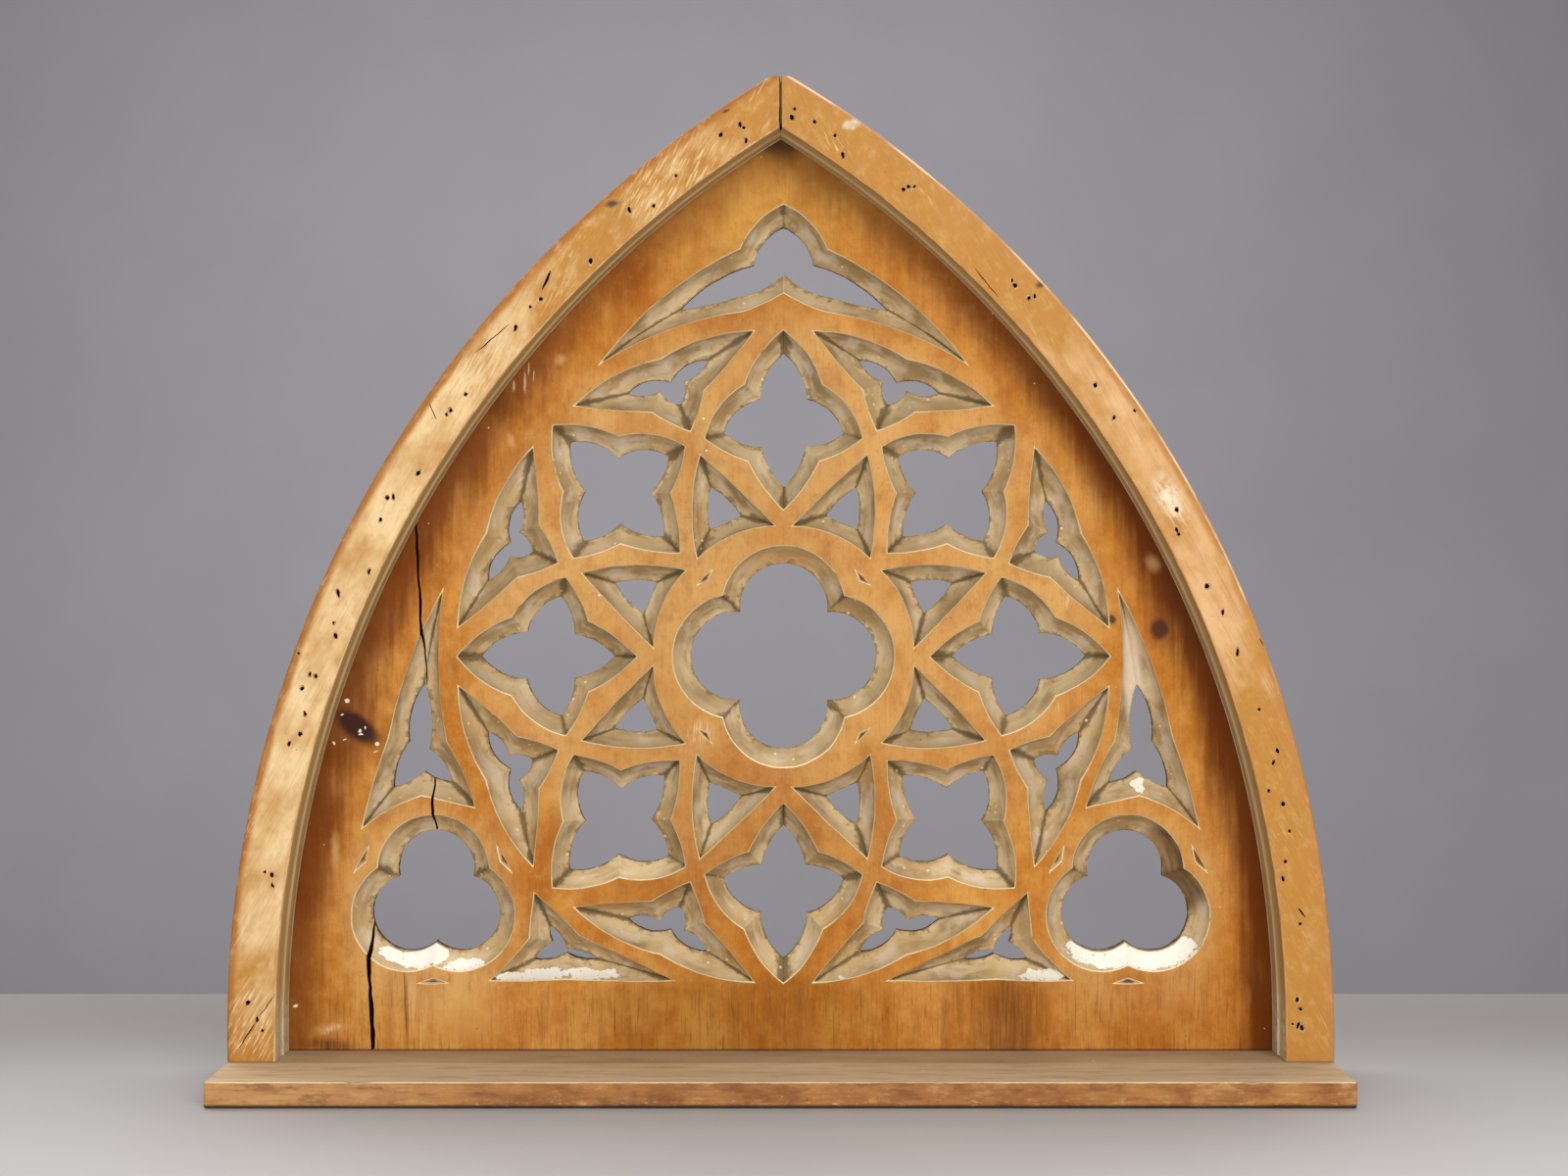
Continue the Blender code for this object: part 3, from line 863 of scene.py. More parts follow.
    def spot(self, place, middle, halves, turn=0.0, soft=0.5):
        """1 inside an ellipse on the front, fading to 0 at its edge."""
        local = self.add(
            "ShaderNodeMapping",
            {"vector_type": "TEXTURE"},
            Vector=place,
            Location=(middle[0], 0.0, middle[1]),
            Rotation=(0.0, -math.radians(turn), 0.0),
            Scale=(halves[0], 1000.0, halves[1]),
        )
        distance = self.moved("LENGTH", local.outputs[0])["Value"]
        return Mark(self, distance).spread(1.0, 1.0 - soft)

    def stroke(self, place, start, end, width):
        """1 along a line on the front, tapering to both ends."""
        run = complex(*end) - complex(*start)
        middle = (complex(*end) + complex(*start)) / 2
        halves = (abs(run) / 2, width / 2)
        return self.spot(place, (middle.real, middle.imag), halves, math.degrees(cmath.phase(run)), 0.6)

    def most(self, marks):
        """The strongest of several marks."""
        return functools.reduce(operator.or_, marks)

    def spots(self, place, ellipses, *soft):
        """The strongest of several spots, which may carry their own softness."""
        return self.most([self.spot(place, *ellipse, *soft) for ellipse in ellipses])

    def from_arch(self, inset):
        """Distance inwards from the arch line at an inset from the ribs' outside."""
        across = self.math("ABSOLUTE", self.x) + ARC_CENTRE_OFFSET
        up = (self.z - SPRING_HEIGHT) | 0.0
        return (ARCH_RADIUS - inset) - self.math("SQRT", across ** 2.0 + up ** 2.0)

    def done(self, roughness, height=None, depth=0.0004, strength=0.5, specular=0.35):
        """Wire the colour, gloss and fine relief to the shader."""
        self.feed(self.shader.inputs["Base Color"], self.base)
        self.feed(self.shader.inputs["Roughness"], roughness)
        self.feed(self.shader.inputs["Specular IOR Level"], specular)
        if height is not None:
            bump = self.add("ShaderNodeBump", Strength=strength, Distance=depth, Height=height)
            self.feed(self.shader.inputs["Normal"], bump.outputs[0])
        return self.material


# Marks on the panel's face in metres: its middle, half its sizes and its turn in degrees
KNOTS = [
    ((-0.4256, 0.3505), (0.0345, 0.0160), -36.0),
    ((-0.4330, 0.3580), (0.0120, 0.0090), -30.0),
    ((0.3807, 0.4491), (0.0125, 0.0140), 0.0),
    ((0.3334, 0.4589), (0.0050, 0.0055), 0.0),
]
DARK_STAINS = [
    ((0.4762, 0.0964), (0.010, 0.032), 10.0),
    ((-0.4560, 0.0310), (0.036, 0.010), -4.0),
    ((-0.4300, 0.4400), (0.012, 0.070), -20.0),
    ((0.4100, 0.4700), (0.022, 0.090), 22.0),
    ((0.3950, 0.5400), (0.016, 0.050), 30.0),
    ((-0.2900, 0.6850), (0.020, 0.040), 40.0),
    # The last stain is painted shade in the corner under the peak
    ((0.0010, 0.9420), (0.036, 0.022), 0.0),
]
PALE_SCUFFS_AND_SHEEN = [
    ((-0.0803, 0.3446), (0.020, 0.0180), 90.0),
    ((0.2792, 0.3703), (0.009, 0.0040), 90.0),
    ((0.2890, 0.4760), (0.010, 0.0060), 80.0),
    # This scuff is painted sheen on the wax low on the left
    ((-0.4526, 0.0472), (0.016, 0.0050), 20.0),
    ((0.4450, 0.4500), (0.030, 0.0040), 80.0),
]
FLECKS_AND_GLINTS = [
    ((-0.0773, 0.6608), (0.0018, 0.0014), 0.0),
    ((-0.0744, 0.6283), (0.0014, 0.0014), 0.0),
    ((-0.4871, 0.0708), (0.0030, 0.0018), 30.0),
    ((-0.1817, 0.4835), (0.0016, 0.0012), 0.0),
    # The flecks from here on sit on the big knot: painted glints on its glossy face
    ((-0.4230, 0.3466), (0.0024, 0.0020), 30.0),
    ((-0.4218, 0.3435), (0.0030, 0.0012), 0.0),
    ((-0.4054, 0.3335), (0.0030, 0.0026), 60.0),
    ((-0.4066, 0.3262), (0.0028, 0.0009), 20.0),
    ((-0.4384, 0.3375), (0.0030, 0.0008), 0.0),
    ((-0.4494, 0.3344), (0.0016, 0.0026), 20.0),
    ((-0.4356, 0.3770), (0.0030, 0.0034), 0.0),
    ((-0.4404, 0.3632), (0.0018, 0.0010), 30.0),
    ((-0.4170, 0.3500), (0.0010, 0.0020), 0.0),
]
# Soft pale spots; the one low on the left is a painted reflection of the wax's sheen
SOFT_SPOTS_AND_SHEEN = [
    ((-0.2210, 0.7203), (0.0090, 0.0080), 0.0),
    ((-0.2710, 0.6390), (0.0060, 0.0120), 15.0),
    ((-0.4520, 0.0480), (0.0240, 0.0080), 8.0),
    ((0.3745, 0.5150), (0.0100, 0.0140), 30.0),
    ((-0.4480, 0.2250), (0.0070, 0.0300), 0.0),
]

# Lines on the face: start, end and, for a drip of paint, its width
DRIPS = [
    ((-0.2570, 0.7114), (-0.2572, 0.6830), 0.0030),
    ((-0.2680, 0.7010), (-0.2684, 0.6860), 0.0032),
    ((-0.2530, 0.7190), (-0.2533, 0.7020), 0.0022),
    ((-0.2480, 0.7120), (-0.2482, 0.6950), 0.0016),
]
FINE_LINES = [
    ((-0.3802, 0.1329), (-0.3748, 0.0255)),
    ((-0.1665, 0.0856), (-0.1665, 0.0265)),
    ((-0.0734, 0.0580), (-0.0734, 0.0354)),
    ((-0.0340, 0.5436), (-0.0251, 0.2974)),
]

# Where the boards meet, and the bars round the trefoils
BOARD_JOINTS = (-0.4110, -0.1665, 0.0600, 0.2850)
TREFOIL_ARCS = [((-0.352, 0.165), (0.104, 0.124)), ((0.358, 0.165), (0.104, 0.124))]

# Old paint in the lower hollows, with its softness last, and the small gaps in it
OLD_PAINT = [
    ((-0.3582, 0.1210), (0.0240, 0.0170), 0.0, 0.22),
    ((-0.3882, 0.1170), (0.0230, 0.0070), -24.0, 0.30),
    ((-0.3222, 0.1090), (0.0340, 0.0050), 8.0, 0.30),
    ((0.3562, 0.1250), (0.0740, 0.0230), 0.0, 0.18),
    ((-0.2260, 0.0990), (0.0740, 0.0072), 1.0, 0.30),
    ((0.2640, 0.0990), (0.0280, 0.0060), 0.0, 0.30),
    ((0.0625, 0.0964), (0.0060, 0.0030), 0.0, 0.50),
    ((0.3620, 0.2905), (0.0075, 0.0085), 0.0, 0.20),
    ((-0.2901, 0.4116), (0.0050, 0.0030), 0.0, 0.50),
]
PAINT_GAPS = [(0.2980, 0.1388), (0.3108, 0.1290), (0.3295, 0.1250), (-0.3890, 0.1330), (-0.2150, 0.0985)]


def face_colour(finish, settings):
    """Lay the clouded colour of waxed pine, worn thin on the tracery and darker outside it."""
    clouds = finish.noise((0.05, 0.05, 0.07), detail=5.0, seed=3.0, rough=0.58)
    mottle = finish.noise((0.01, 0.01, 0.013), detail=5.0, seed=14.0, rough=0.66)
    ruddy = finish.noise((0.08, 0.08, 0.11), detail=4.0, seed=7.0)
    finish.base = finish.mix(clouds.spread(0.36, 0.64), settings.face_deep, settings.face_light)
    finish.veil("ruddy_pine", ruddy, 0.47, 0.64, 0.5)
    rose = finish.spot(finish.place, (0.003, 0.463), (0.338, 0.326), 0.0, 0.2)
    outside = (1.0 - rose) * finish.z.spread(0.1, 0.135)
    upper = (finish.z - finish.x * 0.12).spread(0.52, 0.61)
    golden = finish.x.spread(0.05, 0.25) * (1.0 - upper)
    tint = finish.mix(upper, "lower_tint", "upper_tint")
    tint = finish.mix(golden, tint, "fair_tint")
    finish.tint(tint, outside)
    finish.tint("low_bar_tint", rose * finish.z.spread(0.38, 0.25))
    blots = finish.noise((0.03, 0.03, 0.048), detail=5.0, seed=17.0, rough=0.58)
    calm = 1.0 - golden * 0.7
    blots = blots.spread(0.46, 0.66, 0.0, 0.42) * (outside * calm)
    finish.lay("blot_brown", blots)
    peak = finish.spot(finish.place, (0.003, 0.87), (0.2, 0.13), 0.0, 0.8)
    finish.lay("peak_amber", peak * clouds.spread(0.3, 0.6, 0.45, 0.85))
    tan = rose * finish.z.spread(0.18, 0.46, 0.3, 1.0)
    tan = tan | finish.spots(finish.place, TREFOIL_ARCS, 0.0, 0.3) * 0.8
    finish.lay(settings.face_tan, tan * clouds.spread(0.3, 0.6, 0.4, 0.74))
    finish.veil("pale_honey", mottle, 0.46, 0.78, 0.32)
    finish.veil("umber", mottle, 0.54, 0.26, 0.4)


def face_grain(finish):
    """Lay the fine speckle, year bands and pore lines of upright pine, and give back the pores."""
    pores = finish.noise((0.0016, 0.0016, 0.034), detail=3.0, seed=1.0, rough=0.6)
    bands = finish.noise((0.015, 0.015, 0.26), detail=3.0, seed=2.0)
    plain = finish.z.spread(0.07, 0.125, 1.0, 0.34)
    speckle = finish.noise((0.0028, 0.0028, 0.004), detail=4.0, seed=18.0, rough=0.7)
    finish.veil("peat", speckle, 0.55, 0.72, 0.26)
    finish.veil("straw_speck", speckle, 0.44, 0.28, 0.2)
    finish.lay("band_brown", bands.spread(0.47, 0.76, 0.0, 0.4) * plain)
    finish.lay("pore_brown", pores.spread(0.52, 0.72, 0.0, 0.55) * plain)
    finish.veil("grain_gold", pores, 0.4, 0.2, 0.2)
    return pores


def rail_streaks(finish):
    """Lay upright streaks on the bottom rail: a dark stained stretch and a rubbed pale one."""
    streak = finish.noise((0.007, 0.007, 0.12), detail=5.0, seed=15.0, rough=0.6)
    fine = finish.noise((0.0022, 0.0022, 0.06), detail=4.0, seed=16.0, rough=0.6)
    foot = finish.z.spread(0.116, 0.086)
    amber = finish.spot(finish.place, (-0.045, 0.06), (0.215, 0.06), 0.0, 0.45) * foot
    finish.tint("amber_tint", amber)
    honey = finish.spot(finish.place, (-0.315, 0.062), (0.062, 0.045), 0.0, 0.8) * foot
    finish.lay("rail_honey", honey * 0.45)
    across = finish.x + (streak - 0.5) * 0.05
    stretch = across.spread(0.135, 0.19) * across.spread(0.34, 0.24)
    dark = stretch * streak.spread(0.36, 0.66, 0.1, 0.55)
    core = across.spread(0.19, 0.222) * across.spread(0.276, 0.236)
    core = core * fine.spread(0.28, 0.62, 0.45, 0.9)
    dark = (dark | core) * foot
    finish.lay("rail_stain", dark * 0.82)
    rubbed = across.spread(-0.385, -0.374) * across.spread(-0.348, -0.364)
    rubbed = rubbed * foot
    pale = rubbed * fine.spread(0.46, 0.62, 0.0, 0.5)
    finish.lay("rubbed_rail", pale)
    lines = rubbed * fine.spread(0.42, 0.3, 0.0, 0.45)
    finish.lay("rail_line", lines)
    seam = finish.stroke(finish.worn_place(0.002, 0.01), (-0.3775, 0.118), (-0.375, 0.018), 0.006)
    finish.lay("rail_seam", seam * 0.55)


def rim_patina_shade_share(finish):
    """How much of the dark rim there is, patina and painted shade along the ribs: it frays inwards from the
    ribs, least at the peak.
    """
    cloud = finish.noise((0.036, 0.036, 0.08), detail=5.0, seed=4.0)
    gap = finish.from_arch(OPENING_INSET) + cloud * -0.034
    gap = gap - finish.x.spread(0.1, -0.1, 0.0, 0.006)
    lower_right = finish.x.spread(0.1, 0.3) * finish.z.spread(0.62, 0.42)
    gap = gap - lower_right * 0.006
    strands = finish.noise((0.005, 0.005, 0.08), detail=3.0, seed=14.0)
    gap = gap - strands.spread(0.3, 0.7, -0.0045, 0.0045)
    rim = gap.spread(0.027, -0.012)
    low = finish.z.spread(0.88, 0.6, 0.5, 1.0)
    right = finish.x.spread(-0.3, 0.3, 0.84, 0.93)
    foot = finish.z.spread(0.03, 0.2, 0.7, 1.0) | finish.x.spread(0.0, 0.2)
    return rim * low * (right * foot)


def face_marks(finish, pores):
    """Lay the stains, knots, scuffs and flecks, painted shade under the peak, painted sheen and glints, and
    give back the dirt in dots and lines.
    """
    worn = finish.worn_place(0.0045, 0.006)
    stains = finish.spots(worn, DARK_STAINS, 0.8)
    finish.lay("dark_stain", stains * pores.spread(0.3, 0.62, 0.35, 0.85))
    wide = [(place, (halves[0] * 1.7, halves[1] * 2.2), turn) for place, halves, turn in KNOTS]
    finish.lay("knot_halo", finish.spots(worn, wide, 0.9) * 0.5)
    finish.lay("knot", finish.spots(worn, KNOTS, 0.55) * finish.x.spread(-0.1, 0.1, 0.97, 0.8))
    # Painted shade in the corner under the peak, between the ribs
    painted_shade = finish.spot(worn, (0.001, 0.94), (0.04, 0.03), 0.0, 0.9)
    finish.lay("painted_shade", painted_shade * 0.85)
    # Soft pale spots and painted sheen
    finish.lay("soft_spot_and_sheen", finish.spots(worn, SOFT_SPOTS_AND_SHEEN, 0.95) * 0.5)
    scratch = finish.noise((0.0007, 0.0007, 0.012), detail=1.0, seed=5.0).spread(0.52, 0.6)
    finish.lay("scuff_and_sheen", finish.spots(worn, PALE_SCUFFS_AND_SHEEN, 0.9) * scratch * 0.75)
    drips = finish.most([finish.stroke(finish.worn_place(0.002, 0.003), *drip) for drip in DRIPS])
    flecks_and_glints = finish.spots(worn, FLECKS_AND_GLINTS) | drips * 0.4
    dots = finish.specks(0.021, 0.16, 0.045, 3.0)
    finish.lay("fleck_and_glint", flecks_and_glints | dots * 0.6)
    dark_dots = finish.specks(0.014, 0.26, 0.055, 9.0) | finish.specks(0.0072, 0.1, 0.075, 19.0)
    lines = finish.most([finish.stroke(finish.place, start, end, 0.0011) for start, end in FINE_LINES])
    seam = finish.z.spread(SILL_THICKNESS + 0.0024, SILL_THICKNESS + 0.001)
    dirt = dark_dots | lines | seam
    finish.lay("dirt", dirt * 0.72)
    return dirt


def wax_finish(settings):
    """Polished honey pine, darker beside the ribs with patina and painted shade, with knots, stains, scuffs
    and painted sheen.
    """
    finish = Finish("waxed_panel_face")
    face_colour(finish, settings)
    pores = face_grain(finish)
    for index, joint in enumerate(BOARD_JOINTS):
        finish.tint("darker_board" if index % 2 else "lighter_board", finish.x > joint)
    rail_streaks(finish)
    # Patina and painted shade along the ribs
    finish.lay(settings.rim_patina_shade, rim_patina_shade_share(finish))
    dirt = face_marks(finish, pores)
    gloss = finish.noise(0.03, detail=4.0, seed=6.0).spread(0.3, 0.72, 0.36, 0.58)
    return finish.done(gloss, pores * 0.5 - dirt * 0.8, 0.0003, 0.4, 0.05)


def arris_finish(settings):
    """The worn pale edge round each light, broken where the wax has stayed."""
    finish = Finish("worn_arris")
    keep = finish.noise(0.016, detail=3.0, seed=11.0).spread(0.6, 0.74, 0.0, 0.75)
    finish.base = finish.mix(keep, settings.arris_cream, "kept_wax")
    fine = finish.noise(0.003, detail=2.0, seed=12.0)
    finish.veil("arris_fibre", fine, 0.35, 0.7, 0.35)
    return finish.done(0.62, fine, 0.0002, 0.3)


def painted(finish, across):
    """Where old white paint is left, and the dirt along its broken edge."""
    flakes = finish.noise(0.0042, detail=5.0, seed=21.0, rough=0.7)
    worn = finish.worn_place(0.012, 0.012)
    covered = finish.spots(worn, OLD_PAINT) + flakes.spread(0.28, 0.66, -0.62, 0.2)
    covered = covered + across.spread(0.04, 0.22, -0.24, 0.0)
    gaps = [(place, (0.0042, 0.0026)) for place in PAINT_GAPS]
    covered = covered - finish.spots(worn, gaps, -20.0, 0.4) * 0.8
    lip = across.spread(0.96, 0.84)
    whole = covered.spread(0.42, 0.5) * lip
    dirt = covered.spread(0.2, 0.4) * (1.0 - whole)
    return whole, dirt


def hollow_finish(settings):
    """Dull carved wood: soft olive clouds, grime and painted shade in the corners, painted highlights on the
    ridges, a painted sheen and old paint.
    """
    finish = Finish("carved_hollow")
    across, valley, ridge = (finish.attribute(name) for name in ("across", "valley", "ridge"))
    streaks = finish.streaks(across, 4.0, 0.03)
    fine = finish.streaks(across, 26.0, 0.01, 4.0)
    cloud = finish.noise(0.034, detail=4.0, seed=22.0, rough=0.5)
    blotch = finish.noise(0.0075, detail=5.0, seed=23.0, rough=0.64)
    ochre = finish.noise(0.045, detail=3.0, seed=24.0)
    sheen_and_bloom = finish.noise((0.026, 0.026, 0.034), detail=4.0, seed=25.0, rough=0.56)
    facing = finish.facing_up()
    # Faces turned up come out a little lighter: painted light
    tone = cloud * 0.6 + streaks * 0.4 + facing * 0.06
    finish.base = finish.mix(tone.spread(0.37, 0.58), settings.hollow_deep, settings.hollow_light)
    finish.veil("ochre", ochre, 0.46, 0.66, 0.55)
    # A pale pinkish patch mid-scoop: painted sheen, with some dusty bloom
    sheen = across.spread(0.02, 0.28) * across.spread(0.9, 0.55)
    sheen = sheen * sheen_and_bloom.spread(0.48, 0.64, 0.0, 0.6)
    finish.lay("sheen_and_bloom", sheen)
    finish.veil("tool_line", fine, 0.46, 0.74, 0.16)
    finish.veil("pale_blotch", blotch, 0.56, 0.74, 0.22)
    finish.veil("dark_blotch", blotch, 0.42, 0.26, 0.24)
    warm = finish.spot(finish.worn_place(0.01, 0.012), (0.003, 0.52), (0.09, 0.028), 0.0, 0.6)
    finish.lay("warm_hollow", warm * 0.5)
    settled = facing.spread(0.1, 0.55) * finish.z.spread(0.22, 0.36)
    settled = settled * cloud.spread(0.3, 0.6, 0.75, 0.45)
    finish.lay("settled_dust", settled)
    # Grime and painted shade gathered in the corners' valleys and creases
    soil_and_shade = valley + (cloud - 0.5) * 1.5 + (blotch - 0.5) * -0.9
    finish.veil("soil_and_shade", soil_and_shade, 0.34, 0.78, 0.82)
    crease = valley.spread(0.86, 1.0) * blotch.spread(0.34, 0.58, 0.1, 0.62)
    finish.lay(settings.valley_grime_shade, crease)
    crust = finish.noise(0.0062, detail=5.0, seed=28.0, rough=0.62)
    near_hole = crust * 0.9 + sheen_and_bloom * -0.5 + across ** 2.0 * 0.36
    finish.veil("crust", near_hole, 0.48, 0.6, 0.6)
    edge = across.spread(0.93, 0.985) * blotch.spread(0.4, 0.6, 0.1, 0.8)
    finish.lay("hole_edge", edge)
    # Painted shade darkening the right trefoil's hollows
    trefoil_shade = finish.spot(finish.worn_place(0.01, 0.012), (0.389, 0.198), (0.052, 0.068), -20.0, 0.35)
    painted_shade = finish.mix(tone.spread(0.4, 0.56), "trefoil_shade_dark", "trefoil_shade_light")
    finish.lay(painted_shade, trefoil_shade * 0.86)
    # A pale patch down the left hollow of the right tall light
    pale_patch = finish.spot(finish.place, (0.356, 0.402), (0.015, 0.085), 5.0, 0.6)
    finish.lay("pale_patch", pale_patch * 0.66)
    # Painted highlight in pale cream along the cusp ridges
    finish.veil(settings.arris_cream, ridge, 0.62, 0.98, 0.4)
    # Pale along the hole's lip: wear and painted highlight
    rim = across.spread(0.95, 0.99) * blotch.spread(0.54, 0.64)
    finish.lay("worn_lip_and_highlight", rim * 0.45)
    crumbs = finish.specks(0.0062, 0.16, 0.3, 27.0) * ochre.spread(0.5, 0.6)
    finish.lay("crumb", crumbs * 0.75)
    paint, dirt = painted(finish, across)
    finish.lay("paint_dirt", dirt * 0.6)
    stained = finish.mix(cloud.spread(0.4, 0.75, 0.0, 0.3), settings.paint_white, "stained_paint")
    finish.lay(stained, paint)
    height = fine * 0.6 + paint * 1.1
    gloss = sheen_and_bloom.spread(0.4, 0.66, 0.78, 0.52)
    return finish.done(gloss, height, 0.0006, 0.55, 0.2)


def sawn_finish():
    """The saw-cut wall of each hole, dark and furred."""
    finish = Finish("sawn_wall")
    teeth = finish.noise((0.0016, 0.03, 0.0016), detail=2.0, seed=31.0)
    finish.base = finish.mix(teeth.spread(0.35, 0.7), "sawn_dark", "sawn_light")
    finish.veil("sawn_patch", finish.noise(0.022, seed=32.0), 0.58, 0.78, 0.5)
    return finish.done(0.82, teeth, 0.0006, 0.6, 0.15)


def back_finish(name, wood):
    """Unpolished pine with coarse saw marks, for faces that stand to the back."""
    finish = Finish(name)
    grain = finish.noise((0.0022, 0.0022, 0.11), detail=3.0, seed=41.0)
    saw = finish.noise((0.2, 0.2, 0.0021), detail=1.0, seed=42.0)
    finish.base = finish.mix(grain.spread(0.38, 0.7), wood, [part * 0.58 for part in wood])
    finish.veil([part * 0.45 for part in wood], saw, 0.5, 0.72, 0.25)
    dust = finish.noise(0.075, detail=4.0, seed=43.0)
    finish.veil("back_dust", dust, 0.42, 0.75, 0.4)
    return finish.done(0.8, grain + saw, 0.0005, 0.5, 0.18)


def crack_finish():
    """The near-black inside of splits, nail holes and the ribs' open mitre: painted shade."""
    finish = Finish("shaded_crack")
    fibre = finish.noise((0.0012, 0.01, 0.02), detail=2.0, seed=51.0)
    finish.base = finish.mix(fibre.spread(0.35, 0.75), "crack_shade_dark", "crack_shade_light")
    return finish.done(0.95, fibre, 0.0004, 0.5, 0.02)


# The panel

# Shares of the hollow's width where its rings run
HOLLOW_SHARES = (0.09, 0.22, 0.36, 0.50, 0.64, 0.77, 0.89, 1.0)
TOOL_MARK_SIZE = 0.014
BORDER_STEPS = 120
CUTTER_LIFT = 0.0004
NICK_SHOULDER = 0.24

# How the carver's hand strays: slowly, and quickly by a smaller share
SLOW_STRAY_SIZE = 0.021
QUICK_STRAY_SIZE = 0.006
QUICK_STRAY_SHARE = 0.35

# The sawn wall: chips along its lip, its height, how it flares to the back and how furred it is
CHIP_SPACING = 0.007
CHIP_THRESHOLD = 0.30
CHIP_REACH = 1.4
SAWN_STEP = 0.0020
SAWN_LEAN = 0.0002
SAWN_FLARE = 0.0007
SAWN_FUR = 0.0006
SAWN_FUR_SIZE = 0.004

# A split: its steps, the usual share of its width, how that varies and how the path strays
SPLIT_STEP = 0.004
SPLIT_USUAL_SHARE = 0.90
SPLIT_SWING = 0.30
SPLIT_SWING_SIZE = 0.012
SPLIT_STRAY = 0.0009
SPLIT_STRAY_SIZE = 0.009


def hollow_depth(share):
    """Depth of the hollow's scoop at a share of its width."""
    return (PANEL_THICKNESS - SAWN_EDGE) * share + HOLLOW_DIP * 4 * share * (1 - share)


def strayed(place, wander):
    """A place moved by the carver's small errors."""
    slow = complex(ripple(place, SLOW_STRAY_SIZE, 1.7), ripple(place, SLOW_STRAY_SIZE, 8.3))
    quick = complex(ripple(place, QUICK_STRAY_SIZE, 4.1), ripple(place, QUICK_STRAY_SIZE, 6.9))
    return place + wander * (slow + QUICK_STRAY_SHARE * quick)


def carve_light(shape, light, settings):
    """Add a light's rings from its arris to the back, and give back the first and last."""
    marks = light.marks()
    arris = settings.arris_width / light.width
    rings = [[(strayed(place, settings.hand_wander), 0.0) for place in light.places(0.0, 0.0)]]
    shares = [0.0]
    for share in (arris,) + HOLLOW_SHARES:
        ring = []
        for place in light.places(light.width * share, share):
            groove = settings.tool_ripple * ripple(place, TOOL_MARK_SIZE, share * 6.5)
            depth = hollow_depth(share) + groove * math.sin(math.pi * min(1.0, share + 0.15))
            ring.append((strayed(place, settings.hand_wander), depth * 0.8 if share == arris else depth))
        rings.append(ring)
        shares.append(share)
    middle = light.middle()
    lip, wall, back = [], [], []
    for place, depth in rings[-1]:
        broken = max(0.0, ripple(place, CHIP_SPACING, 12.5) - CHIP_THRESHOLD)
        chip = broken * CHIP_REACH * settings.sawn_chips
        outwards = (place - middle) / abs(place - middle)
        lip.append((place + outwards * chip, depth - chip * 0.6))
        wall.append((place + outwards * (chip * 0.4 + SAWN_LEAN), depth + SAWN_STEP))
        fur = SAWN_FUR * ripple(place, SAWN_FUR_SIZE, 3.3)
        back.append((place + outwards * (SAWN_FLARE + fur), PANEL_THICKNESS))
    rings[-1] = lip
    rings += [wall, back]
    shares += [1.0, 1.0]
    made = []
    for ring, share in zip(rings, shares):
        points = [(place.real, PANEL_FRONT + depth, place.imag) for place, depth in ring]
        made.append(shape.ring(points, [(valley, ridge, share) for valley, ridge in marks]))
    finishes = [ARRIS] + [HOLLOW] * len(HOLLOW_SHARES) + [SAWN, SAWN]
    for upper, lower, finish in zip(made, made[1:], finishes):
        shape.join(upper, lower, finish)
    return made[0], made[-1]


def carve_nick(shape, outline, settings):
    """Add a chip-cut triangle, its floor a point, and give back its rim."""
    light = Light(outline, EVEN_CUT, settings.outline_step * 0.6)
    rings = []
    for share in (0.0, NICK_SHOULDER):
        depth = NICK_DEPTH * share * 0.6
        ring = [strayed(place, settings.hand_wander) for place in light.places(0.0, 0.0)]
        middle = sum(ring) / len(ring)
        ring = [middle + (place - middle) * (1.0 - share) for place in ring]
        rings.append(shape.ring([(place.real, PANEL_FRONT + depth, place.imag) for place in ring]))
    shape.join(rings[0], rings[1], ARRIS)
    shape.fan(rings[1], (middle.real, PANEL_FRONT + NICK_DEPTH, middle.imag), HOLLOW, [(1.0, 0.0, 0.6)])
    return rings[0]


def arc_heights(inset, steps, end_across, foot_steps=1):
    """Points up the right side of the arch at an inset from its outside, foot to peak."""
    radius = ARCH_RADIUS - inset
    peak = math.acos((end_across + ARC_CENTRE_OFFSET) / radius)
    points = []
    for index in range(foot_steps):
        up = RIB_FOOT + (SPRING_HEIGHT - RIB_FOOT) * index / foot_steps
        points.append(complex(HALF_WIDTH - inset, up))
    for index in range(steps + 1):
        points.append(complex(-ARC_CENTRE_OFFSET, SPRING_HEIGHT) + cmath.rect(radius, peak * index / steps))
    return points


def split_paths():
    """The open splits down the panel: places, width, depth and bluntness of the ends."""
    split_low = [complex(-1.2600, -0.800), complex(-1.2668, -0.9126), complex(-1.2503, -1.25)]
    shake_high = [complex(-1.124, 0.42), complex(-1.110, 0.18), complex(-1.098, -0.11)]
    shake_low = [complex(-1.0760, -0.352), complex(-1.0677, -0.565)]
    return [
        (split_low, 0.0046, 0.023, 0.9),
        (shake_high, 0.0028, 0.023, 0.75),
        (shake_low, 0.0032, 0.023, 0.8),
    ]


